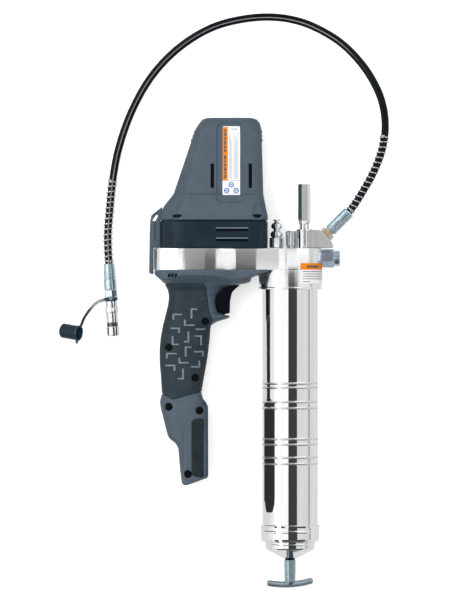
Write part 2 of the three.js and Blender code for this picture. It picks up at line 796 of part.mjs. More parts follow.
const PAD_OUTLINE = [
  [-150, -19],
  [-129.5, -14.6],
  [-90, -14.4],
  [-86.7, -17.5],
  [-83.6, -43],
  [-80.6, -50],
  [-81.6, -60],
  [-60, -62],
  [-60, -118],
  [-91.3, -124.9],
  [-120.6, -132.7],
  [-131.7, -126.7],
  [-150, -124],
];

function addHandle() {
  const outside = handleLoft(0);
  const flangeLimit = plate(headPlan(0.4), -12, 1, 0, 5);
  const below = box(-160, 0, -240, -12, -40, 40);
  const trimmed = cut(common(outside, join(flangeLimit, below)), beyondDock(0));
  const core = handleLoft(PAD_DEPTH + GAP);
  const padBed = cut(slab(grown(PAD_OUTLINE, GAP), -40, 40), core);
  const wide = slab(CAVITY_OUTLINE, -CAVITY_HALF_DEPTH, CAVITY_HALF_DEPTH);
  const bosses = HANDLE_SCREWS.map(([x, y]) => bar(4, -20, 20, 10).rotateX(Math.PI / 2).translate(x, y, 0));
  const body = cut(trimmed, padBed, cut(wide, ...bosses));

  const collarSpace = bar(COLLAR_R + 1.2, -30, 2, 24);
  const wireHole = bar(4, -12, 1, 12).translate(WIRE_HOLE_X, 0, 0);
  const triggerSlot = box(-99, -55, -46.6, -15.8, -TRIGGER_HALF_WIDTH - 0.6, TRIGGER_HALF_WIDTH + 0.6);
  const terminalSlot = box(-103, -95, -226, -205, -6, 6);
  const screwTools = [];
  const padHoles = [];
  for (const [x, y] of HANDLE_SCREWS) {
    const surface = handleSurfaceDepth(x, y);
    const shankHole = bar(2, -surface + 5, surface + 4, 8).rotateX(Math.PI / 2);
    const headHole = bar(4, surface - 3.4, surface + 4, 10).rotateX(Math.PI / 2);
    screwTools.push(shankHole.translate(x, y, 0), headHole.clone().translate(x, y, 0));
    padHoles.push(headHole.clone().translate(x, y, 0));
  }
  const shell = cut(body, collarSpace, wireHole, triggerSlot, terminalSlot, ...screwTools);
  const front = box(-160, 0, -240, 1, GAP / 2, 40);
  const back = box(-160, 0, -240, 1, -40, -GAP / 2);
  add(gun, "handle_front", common(shell, front), SLATE_PLASTIC);
  add(gun, "handle_back", common(shell, back), SLATE_PLASTIC);

  const padShell = cut(common(outside, slab(PAD_OUTLINE, -40, 40)), handleLoft(PAD_DEPTH));
  const padFront = common(padShell, front);
  const padBack = common(padShell, back);
  add(gun, "grip_pad_front", cut(padFront, triggerSlot, ...padHoles), GRIP_RUBBER);
  add(gun, "grip_pad_back", cut(padBack, triggerSlot), GRIP_RUBBER);
}

function addHandleScrew(number, [x, y]) {
  const surface = handleSurfaceDepth(x, y);
  const headTop = surface - 0.5;
  const underHead = headTop - 2.5;
  const profile = [[0, underHead], [3.4, underHead], [3.4, headTop - 0.4], [3, headTop], [0, headTop]];
  const shank = bar(1.5, -surface + 5.5, headTop - 2, 6);
  const screw = add(gun, "handle_screw_" + number, join(turned(profile, 8), shank), BLACK_STEEL);
  screw.position.set(x, y, 0);
  screw.rotation.x = Math.PI / 2;
}

function addHandleInsides() {
  add(gun, "switch_body", box(-118.5, -102, -50, -16, -8, 8), BLACK_PLASTIC);
  const block = box(-108, -92, -202, -188, -9, 9);
  const blades = [-4, 4].map((z) => box(-101, -97, -212, -201, z - 0.5, z + 0.5));
  add(gun, "terminal_block", join(block, ...blades), BLACK_PLASTIC);
  const trigger = new THREE.Shape();
  trigger.moveTo(-88, -18.5);
  trigger.lineTo(-64.5, -17.4);
  trigger.quadraticCurveTo(-61.2, -20, -62.2, -26);
  trigger.quadraticCurveTo(-65.6, -35, -62.6, -43.6);
  trigger.quadraticCurveTo(-63.4, -46, -68, -45.9);
  trigger.lineTo(-80, -45.6);
  trigger.lineTo(-88, -38);
  add(gun, "trigger", slab(trigger, -TRIGGER_HALF_WIDTH, TRIGGER_HALF_WIDTH), BLACK_PLASTIC);
  const spring = add(gun, "trigger_spring", coilSpring(3.2, 0.5, 88.4, 101.6, 4, 7), SPRING_STEEL);
  spring.rotation.z = Math.PI / 2;
  spring.position.y = -28;
}

function addRearStrapBracket() {
  const half = 12;
  const outline = [
    [-145.1, -3.4],
    [-140.6, -4.8],
    [-140.5, CASE_BOTTOM + 0.1],
    [-134.4, CASE_BOTTOM + 0.1],
    [-134.4, COVER_BOTTOM],
    [-130.9, 65.8],
    [-142.7, 56.4],
    [-143.9, 50.3],
    [-144.5, 37.8],
  ];
  const slot = slab([[-142.2, 50.8], [-138.8, 50], [-135.6, 56], [-137.4, 57.4]], -half - 1, half + 1);
  add(gun, "rear_strap_bracket", cut(slab(outline, -half, half), slot), SLATE_PLASTIC);
}

// ---------- hose, its fittings and the dust cap ----------

// Route of the hose's centreline, from the inlet ferrule round to the coupler.
const HOSE_ROUTE = [
  [49.7, 48.7, 0],
  [62.4, 61.8, 0],
  [74.2, 79.3, -1.5],
  [87.8, 104.1, -5],
  [96, 128, -9.5],
  [98.3, 152.4, -14.5],
  [94.2, 176.6, -19.5],
  [82.9, 200.6, -24],
  [68.5, 219.9, -27.3],
  [52, 235.6, -29.6],
  [32.4, 247.9, -30.8],
  [11.8, 256.6, -31.1],
  [-14.4, 261.4, -31.1],
  [-45.3, 260, -31.1],
  [-80.1, 250.9, -31.1],
  [-114.6, 229.9, -31.1],
  [-142.1, 201.4, -31.1],
  [-162.7, 165.8, -31.1],
  [-176.6, 126.7, -30.7],
  [-182.8, 94.8, -29.8],
  [-186.3, 60.6, -29.2],
  [-188.1, 36, -28.5],
  [-187.8, 20, -28.2],
  [-187, 7.3, -28.2],
  [-186.1, -9.1, -28.2],
];
const HOSE_STEPS = 40;
const INLET_GUARD = [1, 6]; // in steps along the hose
const OUTLET_GUARD = [34, 39];
const hosePath = new THREE.CatmullRomCurve3(
  HOSE_ROUTE.map(([x, y, z]) => new THREE.Vector3(x, y, z)),
  false,
  "centripetal",
);
hosePath.arcLengthDivisions = 2000;

// The stretch of the hose's path between two steps.
class HoseStretch extends THREE.Curve {
  constructor(first, last) {
    super();
    Object.assign(this, { first, last });
  }
  getPoint(t, target = new THREE.Vector3()) {
    const step = this.first + t * (this.last - this.first);
    return hosePath.getPointAt(step / HOSE_STEPS, target);
  }
}

function addHose() {
  const tube = new THREE.ExtrudeGeometry(disc(HOSE_R, 8), {
    steps: HOSE_STEPS,
    extrudePath: hosePath,
    bevelEnabled: false,
  });
  add(gun, "hose_tube", tube, BLACK_RUBBER);
  for (const [name, [first, last]] of [["guard_inlet", INLET_GUARD], ["guard_outlet", OUTLET_GUARD]]) {
    const section = disc(GUARD_R, 10);
    section.holes.push(disc(GUARD_BORE_R, 10));
    const sleeve = new THREE.ExtrudeGeometry(section, {
      steps: last - first,
      extrudePath: new HoseStretch(first, last),
      bevelEnabled: false,
    });
    add(gun, name, sleeve, SPRING_STEEL);
  }
}

// The fitting that screws into the sloping port, and the ferrule crimped on the hose's near end.
function addInletFittings() {
  const line = new THREE.Group();
  line.position.set(PORT_X, PORT_Y, 0);
  line.rotation.z = -PORT_TILT;
  gun.add(line);
  const nut = turned([[0, 0.4], [7.2, 0.4], [7.2, 5], [6.6, 5.6], [4.4, 5.6], [4.4, 6.4], [0, 6.4]], 20);
  const shank = bar(4.1, -4.2, 1, 12);
  add(line, "outlet_adapter", join(nut, shank), ZINC);
  const ferrule = turned([[0, 6.8], [5.6, 6.8], [6.4, 7.6], [6.4, 33.9], [5.9, 34.6], [0, 34.6]], 20);
  const bore = bar(FERRULE_BORE_R, 18.4, 36, 12);
  add(line, "hose_ferrule_inlet", cut(ferrule, bore), ZINC);
}

const COUPLER_TILT = 0.058;

function addCoupler(capGroup) {
  const line = new THREE.Group();
  line.position.set(-186.3, -5.2, -28.2);
  line.rotation.z = COUPLER_TILT;
  gun.add(line);
  const ferrule = turned(
    [[0, -15.3], [6.5, -15.3], [6.5, -4.6], [6.1, -4], [5.6, 11.2], [5.3, 11.8], [0, 11.8]],
    20,
  );
  const hoseBore = bar(FERRULE_BORE_R, -4.3, 14, 12);
  add(line, "hose_ferrule_outlet", cut(ferrule, hoseBore), ZINC);
  add(line, "coupler_nut", hexBar(11.6, -22.6, -15.6, 0.5), ZINC);
  const body = [
    [0, -63.1],
    [6.3, -63.1],
    [6.7, -62.6],
    [6.7, -53.4],
    [6.1, -52.8],
    [6.1, -48.4],
    [6.7, -47.8],
    [6.7, -38.9],
    [6.1, -33.4],
    [6.1, -26.9],
    [4.7, -26.5],
    [4.7, -22.9],
    [0, -22.9],
  ];
  const mouth = bar(1.9, -64, -50, 12);
  add(line, "coupler_body", cut(turned(body, 20), mouth), CHROME);

  capGroup.position.copy(line.position);
  capGroup.rotation.z = COUPLER_TILT;
  addDustCap(capGroup);
}

const CAP_LIFT = (29 * Math.PI) / 180; // the mouth is raised by the strap
const CAP_SWING = (-103 * Math.PI) / 180;

// A rubber moulding: an eye round the coupler's neck, a strap, and the cap.
function addDustCap(group) {
  const eye = ring(6.7, 4.6, -26.2, -23.2, 16);
  const lay = new THREE.CatmullRomCurve3([
    new THREE.Vector3(-5.6, -24.7, 0),
    new THREE.Vector3(-13.8, -26.9, -0.6),
    new THREE.Vector3(-22.2, -34.2, 0.6),
    new THREE.Vector3(-28.6, -42.6, 4.6),
    new THREE.Vector3(-32.8, -51.4, 9),
  ]);
  const width = 1.45;
  const thick = 0.9;
  const section = new THREE.Shape();
  section.moveTo(-thick, -width);
  section.lineTo(thick, -width);
  section.lineTo(thick, width);
  section.lineTo(-thick, width);
  const strap = new THREE.ExtrudeGeometry(section, { steps: 12, extrudePath: lay, bevelEnabled: false });
  const passage = bar(5, -27, -22, 16);
  const cup = turned(
    [[0, 0], [6.9, 0], [7.6, 0.8], [7.6, 18.2], [8, 18.4], [8, 20.4], [6.4, 20.4], [6.4, 1.8], [0, 1.8]],
    16,
  );
  const tab = box(7, 10.8, 18.5, 20.2, -1.6, 1.6);
  const placed = new THREE.Object3D();
  placed.rotation.order = "ZYX";
  placed.rotation.set(CAP_LIFT, 0, CAP_SWING);
  placed.position.set(-52, -54.2, -0.05);
  placed.updateMatrix();
  const cap = join(cup, tab).applyMatrix4(placed.matrix);
  add(group, "dust_cap", cut(join(eye, strap, cap), passage), BLACK_RUBBER);
}

// ---------- assembly ----------

const barrelGroup = new THREE.Group();
const crankGroup = new THREE.Group();
const pumpGroup = new THREE.Group();
const capGroup = new THREE.Group();
crankGroup.position.x = CRANK_X;
pumpGroup.position.set(CRANK_X, PUMP_Y, 0);
gun.add(barrelGroup, crankGroup, pumpGroup, capGroup);

addPumpHead();
addPumpPlunger(pumpGroup);
addPumpEndPlug();
addOutletBlock();
addReliefValve();
addLoaderPlug();
addBleeder();
addCheckValve();
add(gun, "barrel_gasket", ring(28.2, 24, -4.3, -3.3, 20), BLACK_RUBBER);
addBarrel(barrelGroup);
addBarrelEndCap(barrelGroup);
addFollower(barrelGroup);
addTHandle(barrelGroup);
addGearcase();
addRingGear();
addCrank(crankGroup);
for (let number = 1; number <= PLANET_COUNT; number++) addPlanet(crankGroup, number);
addMotor(crankGroup);
addMotorCover();
COVER_SCREWS.forEach((place, i) => addCoverScrew(i + 1, place));
addHandle();
HANDLE_SCREWS.forEach((place, i) => addHandleScrew(i + 1, place));
addHandleInsides();
addRearStrapBracket();
addInletFittings();
addHose();
addCoupler(capGroup);

// The footprint that the origin is the middle of leaves out the hose and what is on it.
const HOSE_NODES = [
  "hose_ferrule_inlet",
  "guard_inlet",
  "hose_tube",
  "guard_outlet",
  "hose_ferrule_outlet",
  "coupler_nut",
  "coupler_body",
  "dust_cap",
];
gun.updateMatrixWorld(true);
const footprint = new THREE.Box3();
gun.traverse((piece) => {
  if (piece.isMesh && !HOSE_NODES.includes(piece.name)) footprint.expandByObject(piece, true);
});
const middle = footprint.getCenter(new THREE.Vector3());
gun.position.set(-middle.x, -middle.y, -footprint.min.z);

export default gun;
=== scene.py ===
"""Looks for the cordless grease gun: visible pieces, materials, floor, light and camera.

Shapes are drawn in millimetres in the gun's own drawing frame: X across the gun, Y along the barrel
towards the motor, Z up from the floor, X = Z = 0 on the barrel's axis, Y = 0 at the pump head's lower face.
place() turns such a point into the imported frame's metres.
"""

import json
from bisect import bisect_left
from math import copysign, cos, pi, radians, sin, sqrt, tan, tau

import bmesh
import bpy
from mathutils import Matrix, Vector


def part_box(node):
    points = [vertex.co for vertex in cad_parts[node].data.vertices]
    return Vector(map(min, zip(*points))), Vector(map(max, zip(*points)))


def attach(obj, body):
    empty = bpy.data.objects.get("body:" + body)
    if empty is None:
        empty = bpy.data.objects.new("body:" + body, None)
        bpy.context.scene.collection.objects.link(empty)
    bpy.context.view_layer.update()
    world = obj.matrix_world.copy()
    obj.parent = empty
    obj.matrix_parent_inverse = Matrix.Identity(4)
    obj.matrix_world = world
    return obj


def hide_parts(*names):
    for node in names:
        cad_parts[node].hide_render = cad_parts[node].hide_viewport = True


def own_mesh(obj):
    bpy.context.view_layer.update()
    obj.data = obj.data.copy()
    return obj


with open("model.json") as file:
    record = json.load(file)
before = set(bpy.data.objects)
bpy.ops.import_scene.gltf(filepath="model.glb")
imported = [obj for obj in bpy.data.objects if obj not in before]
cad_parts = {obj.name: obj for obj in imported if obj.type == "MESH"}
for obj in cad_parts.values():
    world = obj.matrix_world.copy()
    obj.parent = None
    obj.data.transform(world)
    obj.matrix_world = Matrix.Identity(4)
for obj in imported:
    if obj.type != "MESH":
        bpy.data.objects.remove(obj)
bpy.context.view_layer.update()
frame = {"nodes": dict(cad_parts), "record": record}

MM = 0.001
HEAD_TOP = 22.5
HALF_DEPTH = 35  # from the barrel's axis down to the floor

barrel_low, barrel_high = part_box("barrel")
BARREL_MIDDLE = (barrel_low + barrel_high) / 2
ORIGIN = Vector((BARREL_MIDDLE.x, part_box("pump_head")[1].y - HEAD_TOP * MM, BARREL_MIDDLE.z))


def place(point):
    return ORIGIN + Vector(point) * MM


def put(name, data):
    """A new object in the scene."""
    piece = bpy.data.objects.new(name, data)
    bpy.context.scene.collection.objects.link(piece)
    return piece


# ---- camera ----

VIEW_CENTRE = (-65.9, -30.9)  # the point that the camera is straight above
VIEW_HEIGHT = 618  # what the camera sees along Y, at the height of the barrel's axis
CAMERA_DISTANCE = 8000


def add_camera():
    data = bpy.data.cameras.new("camera")
    data.sensor_width = 36
    data.lens = data.sensor_width * CAMERA_DISTANCE / VIEW_HEIGHT
    data.clip_end = 20
    camera = put("camera", data)
    camera.location = place((*VIEW_CENTRE, CAMERA_DISTANCE))
    bpy.context.scene.camera = camera


# ---- materials ----

# Each material: its specular level (a metal has none), roughness, two colours, the size of their patches,
# and the size and depth of its grain.
SURFACES = {
    "chrome": ((0.03, 0.06), (0.82, 0.82, 0.81), (0.88, 0.88, 0.87), 6, 3, 0.002),
    "cast_chrome": ((0.1, 0.14), (0.8, 0.81, 0.82), (0.88, 0.88, 0.88), 8, 0.5, 0.002),
    "turned_chrome": ((0.05, 0.1), (0.7, 0.74, 0.75), (0.84, 0.86, 0.87), 3, 0.8, 0.006),
    "satin_chrome": ((0.12, 0.18), (0.76, 0.8, 0.79), (0.84, 0.87, 0.86), 4, 0.4, 0.004),
    "rolled_chrome": ((0.3, 0.42), (0.6, 0.6, 0.59), (0.78, 0.78, 0.77), 1.2, 0.5, 0.03),
    "satin_steel": ((0.36, 0.44), (0.56, 0.58, 0.58), (0.64, 0.66, 0.66), 3, 0.3, 0.008),
    "zinc": ((0.18, 0.28), (0.4, 0.53, 0.6), (0.56, 0.68, 0.74), 4, 0.8, 0.015),
    "blue_zinc": ((0.15, 0.25), (0.5, 0.6, 0.74), (0.66, 0.74, 0.86), 4, 0.6, 0.01),
    "cast_zinc": ((0.26, 0.36), (0.27, 0.35, 0.4), (0.36, 0.45, 0.5), 3, 0.7, 0.03),
    "brassy_zinc": ((0.2, 0.3), (0.52, 0.54, 0.52), (0.7, 0.71, 0.68), 3, 0.8, 0.015),
    "steel": ((0.1, 0.18), (0.6, 0.66, 0.74), (0.74, 0.78, 0.84), 5, 0.5, 0.004),
    "spring_steel": ((0.14, 0.24), (0.5, 0.54, 0.58), (0.66, 0.7, 0.73), 3, 0.4, 0.006),
    "dark_groove_band": ((0.2, 0.3), (0.1, 0.1, 0.09), (0.16, 0.16, 0.15), 2, 0.4, 0.01),
    "copper": ((0.3, 0.5), (0.42, 0.16, 0.07), (0.62, 0.3, 0.16), 2, 0.5, 0.05),
    "slate_plastic": (0.28, (0.4, 0.5), (0.035, 0.053, 0.073), (0.041, 0.06, 0.081), 14, 0.45, 0.02),
    "dark_plastic": (0.2, (0.3, 0.38), (0.001, 0.008, 0.015), (0.003, 0.011, 0.019), 16, 0.5, 0.01),
    # A lighter strip for the gearcase slots' upper lips: a painted highlight.
    "lip_highlight": (0.5, (0.3, 0.4), (0.07, 0.12, 0.15), (0.09, 0.14, 0.18), 8, 0.5, 0.01),
    "black_plastic": (0.1, (0.3, 0.42), (0.0004, 0.0005, 0.0025), (0.0008, 0.001, 0.005), 8, 0.5, 0.02),
    "grip_rubber": (0.25, (0.5, 0.65), (0.008, 0.015, 0.021), (0.011, 0.02, 0.027), 12, 0.6, 0.04),
    "grip_marks": (0.5, (0.45, 0.55), (0.075, 0.105, 0.13), (0.11, 0.15, 0.18), 3, 0.4, 0.03),
    "foot_panel": (0.2, (0.55, 0.7), (0.005, 0.008, 0.011), (0.009, 0.013, 0.017), 6, 0.7, 0.08),
    "black_rubber": (0.2, (0.25, 0.38), (0.001, 0.005, 0.009), (0.003, 0.008, 0.013), 5, 0.5, 0.02),
    "hose_rubber": (0.12, (0.16, 0.22), (0.0002, 0.0006, 0.0012), (0.0006, 0.0012, 0.002), 12, 0.7, 0.01),
    "black_steel": (0.1, (0.35, 0.5), (0.001, 0.001, 0.001), (0.003, 0.003, 0.004), 2, 0.4, 0.02),
    "label_film": (0.15, (0.35, 0.42), (0.57, 0.57, 0.58), (0.6, 0.6, 0.61), 8, 1.5, 0.004),
    "label_orange": (0.05, (0.4, 0.5), (0.54, 0.15, 0.001), (0.58, 0.165, 0.002), 8, 1.5, 0.004),
    "label_ink": (0.5, (0.4, 0.5), (0.05, 0.04, 0.035), (0.08, 0.07, 0.06), 2, 1.5, 0.002),
    "label_print": (0.5, (0.4, 0.5), (0.16, 0.16, 0.17), (0.22, 0.22, 0.23), 2, 1.5, 0.002),
    "label_blue": (0.5, (0.35, 0.45), (0.02, 0.08, 0.28), (0.03, 0.1, 0.34), 2, 1.5, 0.002),
    "floor": (0.5, (0.7, 0.8), (0.6, 0.6, 0.6), (0.62, 0.62, 0.62), 60, 2, 0.01),
}
# A material stands for the record's slot of its own name, apart from these.
STANDS_FOR = {
    "cast_chrome": "chrome", "turned_chrome": "chrome", "satin_chrome": "chrome",
    "rolled_chrome": "chrome", "blue_zinc": "steel", "cast_zinc": "zinc", "brassy_zinc": "zinc",
    "dark_groove_band": "black_steel", "lip_highlight": "dark_plastic", "grip_marks": "grip_rubber",
    "foot_panel": "grip_rubber",
}
# Brushed or rolled surfaces, drawn out along one axis.
STRETCH = {
    "chrome": (1, 0.02, 1), "cast_chrome": (0.06, 1, 1), "satin_chrome": (1, 0.1, 1),
    "satin_steel": (1, 0.08, 1), "rolled_chrome": (1, 0.4, 1),
}
# Colours mixed in along sharp edges: on the brassy zinc, brass showing through worn plating; on the plastics
# and rubbers, a painted highlight along their rounded edges.
EDGE_WEAR_AND_HIGHLIGHT = {
    "brassy_zinc": (0.6, 0.4, 0.22),
    "slate_plastic": (0.1, 0.14, 0.18),
    "dark_plastic": (0.04, 0.07, 0.09),
    "grip_rubber": (0.04, 0.055, 0.07),
    "black_rubber": (0.03, 0.04, 0.05),
}
STAIN = {"brassy_zinc": (0.62, 0.52, 0.38)}
MATERIALS = {}


def feed(entry, value):
    """Sets an input to a value, or links it to a socket."""
    if isinstance(value, bpy.types.NodeSocket):
        entry.id_data.links.new(value, entry)
    else:
        entry.default_value = value


def fill(node, **inputs):
    for name, value in inputs.items():
        feed(node.inputs[name.replace("_", " ")], value)
    return node


def add_node(tree, kind, **inputs):
    return fill(tree.nodes.new("ShaderNode" + kind), **inputs)


def noise(where, size, detail=3):
    node = add_node(where.id_data, "TexNoise", Vector=where, Scale=1 / (size * MM), Detail=detail)
    return node.outputs["Fac"]


def ramp(value, low, high, start=0, end=1):
    """Spreads low..high over start..end."""
    edges = {"From_Min": low, "From_Max": high, "To_Min": start, "To_Max": end}
    return add_node(value.id_data, "MapRange", Value=value, **edges).outputs["Result"]


def mix(first, second, factor):
    node = add_node(factor.id_data, "Mix")
    node.data_type = "RGBA"
    for entry, colour in ((node.inputs[6], first), (node.inputs[7], second)):
        feed(entry, (*colour, 1) if isinstance(colour, tuple) else colour)
    return fill(node, Factor=factor).outputs[2]


def new_material(name):
    material = bpy.data.materials.new(name)
    material.use_nodes = True
    return material, material.node_tree.nodes["Principled BSDF"]


def add_material(name):
    """A procedural material from its row in the tables. Sizes are in millimetres on the object."""
    *level, roughness, dark, light, patch, grain, depth = SURFACES[name]
    MATERIALS[name], shader = new_material(name)
    tree = shader.id_data
    where = add_node(tree, "TexCoord").outputs["Object"]
    where = add_node(tree, "Mapping", Vector=where, Scale=STRETCH.get(name, (1, 1, 1))).outputs["Vector"]
    colour = mix(dark, light, ramp(noise(where, patch), 0.35, 0.65))
    if name in STAIN:
        colour = mix(colour, STAIN[name], ramp(noise(where, patch * 0.7, 1), 0.6, 0.8))
    # Lighter colour on sharp edges: worn plating on the brassy zinc, a painted edge highlight on the plastics
    # and rubbers.
    if name in EDGE_WEAR_AND_HIGHLIGHT:
        bend = add_node(tree, "NewGeometry").outputs["Pointiness"]
        colour = mix(colour, EDGE_WEAR_AND_HIGHLIGHT[name], ramp(bend, 0.52, 0.62))
    bump = add_node(tree, "Bump", Distance=depth * MM, Height=noise(where, grain, 2)).outputs["Normal"]
    fill(shader, Base_Color=colour, Roughness=ramp(noise(where, 9), 0.3, 0.7, *roughness), Normal=bump)
    fill(shader, **({"Specular_IOR_Level": level[0]} if level else {"Metallic": 1}))


# ---- geometry: every builder gives (points, faces) ----


def fillet(corners, closed=True, steps=5):
    """Rounds the corners of an outline of (x, y, radius); a corner without a radius stays sharp."""
    rounded = []
    last = len(corners) - 1
    for i, corner in enumerate(corners):
        x, y, radius = (*corner, 0)[:3]
        point = Vector((x, y))
        if radius == 0 or (not closed and i in (0, last)):
            rounded.append(point)
            continue
        back = Vector(corners[i - 1][:2]) - point
        ahead = Vector(corners[(i + 1) % len(corners)][:2]) - point
        half_angle = back.angle(ahead) / 2
        reach = min(radius / tan(half_angle), 0.48 * back.length, 0.48 * ahead.length)
        middle = (back.normalized() + ahead.normalized()).normalized()
        centre = point + middle * (reach / cos(half_angle))
        start = point + back.normalized() * reach - centre
        end = point + ahead.normalized() * reach - centre
        for k in range(steps + 1):
            rounded.append(centre + start.slerp(end, k / steps) * start.length)
    return rounded


def turned(profile, sides=72, radius=0.35, turn=0, ripple=None, closed=False):
    """A profile of (radius, y) turned about Y, with its corners rounded. A closed profile makes a ring."""
    line = fillet([(*p, radius) for p in profile], closed, steps=3)
    points, rings = [], []
    for r, y in line:
        if r < 1e-6:
            rings.append([len(points)])
            points.append(Vector((0, y, 0)))
            continue
        rings.append(range(len(points), len(points) + sides))
        for i in range(sides):
            angle = turn + i * tau / sides
            reach = r * (ripple(angle, y) if ripple else 1)
            points.append(Vector((reach * sin(angle), y, reach * cos(angle))))
    faces = []
    for low, high in zip(rings, rings[1:] + rings[:1] if closed else rings[1:]):
        for i in range(sides):
            j = (i + 1) % sides
            corners = [low[i % len(low)], low[j % len(low)], high[j % len(high)], high[i % len(high)]]
            faces.append(list(dict.fromkeys(corners)))
    return points, faces


def lathe(profile, *how, **more):
    """A solid turned from a profile, closed flat at both ends."""
    return turned([(0, profile[0][1]), *profile, (0, profile[-1][1])], *how, **more)


def skin(rings):
    """Rings of points, joined into a closed solid."""
    count = len(rings[0])
    points = [Vector(p) for one in rings for p in one]
    faces = []
    for level in range(len(rings) - 1):
        for i in range(count):
            low, low_next = level * count + i, level * count + (i + 1) % count
            faces.append([low, low_next, low_next + count, low + count])
    faces.append(list(reversed(range(count))))
    faces.append(list(range((len(rings) - 1) * count, len(rings) * count)))
    return points, faces


def slab(outline, z0, z1):
    """An outline of (x, y) between two heights."""
    return skin([[(x, y, z) for x, y in outline] for z in (z0, z1)])


def upright(outline, levels):
    """An outline of (x, z) repeated at (y, inset) levels."""
    return skin([[(x, y, z) for x, z in inset_outline(outline, inset)] for y, inset in levels])


def inset_outline(outline, distance):
    """An outline moved inwards, whichever way round it is listed."""
    if distance == 0:
        return outline
    area = sum(a[0] * b[1] - b[0] * a[1] for a, b in zip(outline, outline[1:] + outline[:1]))
    sign = 1 if area > 0 else -1
    found = []
    for i, point in enumerate(outline):
        before = Vector(point) - Vector(outline[i - 1])
        after = Vector(outline[(i + 1) % len(outline)]) - Vector(point)
        along = (before.normalized() + after.normalized()).normalized()
        normal = Vector((-along.y, along.x)) * sign
        found.append(tuple(Vector(point) + normal * distance))
    return found


def block(x0, x1, y0, y1, z0, z1):
    return slab([(x0, y0), (x1, y0), (x1, y1), (x0, y1)], z0, z1)


def moved(shape, matrix):
    return [matrix @ p for p in shape[0]], shape[1]


def pose(x, y, z, turn=0, axis="Z"):
    return Matrix.Translation((x, y, z)) @ Matrix.Rotation(turn, 4, axis)


def flipped(shape):
    """The mirror image in the gun's middle plane."""
    return [Vector((p.x, p.y, -p.z)) for p in shape[0]], shape[1]


def merged(*shapes):
    points, faces = [], []
    for some_points, some_faces in shapes:
        faces += [[i + len(points) for i in face] for face in some_faces]
        points += some_points
    return points, faces


# ---- geometry: objects ----


def build(name, shape, stand=Matrix()):
    """A mesh object from a shape drawn in millimetres; stand places it in the drawing frame."""
    mesh = bpy.data.meshes.new(name)
    mesh.from_pydata([place(stand @ Vector(p)) for p in shape[0]], [], shape[1])
    facing = bmesh.new()
    facing.from_mesh(mesh)
    bmesh.ops.recalc_face_normals(facing, faces=facing.faces)
    facing.to_mesh(mesh)
    facing.free()
    return put(name, mesh)


def change(piece, kind, **settings):
    """Applies a modifier to a piece."""
    modifier = piece.modifiers.new(kind, kind)
    for name, value in settings.items():
        setattr(modifier, name, value)
    graph = bpy.context.evaluated_depsgraph_get()
    mesh = bpy.data.meshes.new_from_object(piece.evaluated_get(graph))
    piece.modifiers.clear()
    piece.data = mesh
    return piece


def combine(piece, shape, operation="DIFFERENCE"):
    """Cuts a shape out of a piece, joins it on, or keeps what they share."""
    tool = build("tool", shape)
    change(piece, "BOOLEAN", operation=operation, solver="EXACT", object=tool)
    bpy.data.objects.remove(tool)
    return piece


def cut_both(piece, shape):
    """Cuts a shape and its mirror image."""
    combine(piece, merged(shape, flipped(shape)))


def bevel(piece, width, segments=3):
    limit = {"limit_method": "ANGLE", "angle_limit": radians(30)}
    return change(piece, "BEVEL", width=width * MM, segments=segments, **limit)


MOULDED = 180  # degrees: no edge of a moulding is sharp


def dress(piece, material, node=None, body="gun", slot=None, sharp=32):
    """Gives a piece its material and body, and hides the CAD node that it stands for."""
    piece.data.materials.clear()
    piece.data.materials.append(MATERIALS[material])
    if piece.type == "MESH":
        piece.data.shade_smooth()
        piece.data.set_sharp_from_angle(angle=radians(sharp))
        if sharp < MOULDED:
            piece.modifiers.new("flat faces", "WEIGHTED_NORMAL").keep_sharp = True
    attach(piece, body)
    if node:
        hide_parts(node)
    slot = slot or STANDS_FOR.get(material, material)
    return piece


def add(name, shape, material, node=None, stand=Matrix(), edge=0, **how):
    """Builds a piece, bevels its edges and dresses it."""
    piece = build(name, shape, stand)
    if edge:
        bevel(piece, edge)
    return dress(piece, material, node, **how)


def add_both(name, shape, material):
    """A piece on the front and its mirror image on the back."""
    add(name + "_front", shape, material)
    add(name + "_back", flipped(shape), material)


def mould(piece, voxel, rounds, *looks):
    """Rounds every edge of a piece a little, as in a moulding, and dresses it."""
    change(piece, "REMESH", mode="VOXEL", voxel_size=voxel * MM)
    change(piece, "SMOOTH", factor=0.5, iterations=rounds)
    dress(piece, *looks, sharp=MOULDED)


# ---- curves ----


def smooth_path(corners, per_span=12):
    """A centripetal Catmull-Rom curve through the corners."""
    corners = [Vector(p) for p in corners]
    ends = [2 * corners[0] - corners[1], *corners, 2 * corners[-1] - corners[-2]]
    path = []
    for p0, p1, p2, p3 in zip(ends, ends[1:], ends[2:], ends[3:]):
        d0, d1, d2 = ((b - a).length ** 0.5 for a, b in ((p0, p1), (p1, p2), (p2, p3)))
        m1 = ((p1 - p0) / d0 - (p2 - p0) / (d0 + d1) + (p2 - p1) / d1) * d1
        m2 = ((p2 - p1) / d1 - (p3 - p1) / (d1 + d2) + (p3 - p2) / d2) * d1
        for k in range(per_span):
            t = k / per_span
            near = p1 * (2 * t**3 - 3 * t**2 + 1) + m1 * (t**3 - 2 * t**2 + t)
            path.append(near + p2 * (3 * t**2 - 2 * t**3) + m2 * (t**3 - t**2))
    path.append(corners[-1])
    return path


class Route:
    """A path that can be read at any length, with a steady pair of side directions."""

    def __init__(self, path):
        self.path = path
        self.lengths = [0]
        for a, b in zip(path, path[1:]):
            self.lengths.append(self.lengths[-1] + (b - a).length)
        self.length = self.lengths[-1]
        side = Vector((0, 0, 1))
        self.sides = []
        for a, b in zip(path, path[1:] + [2 * path[-1] - path[-2]]):
            along = (b - a).normalized()
            side = (side - along * side.dot(along)).normalized()
            self.sides.append((side.copy(), along.cross(side)))

    def at(self, length):
        i = min(bisect_left(self.lengths, length, 1), len(self.lengths) - 1)
        share = (length - self.lengths[i - 1]) / (self.lengths[i] - self.lengths[i - 1])
        return self.path[i - 1].lerp(self.path[i], share), self.sides[i - 1]


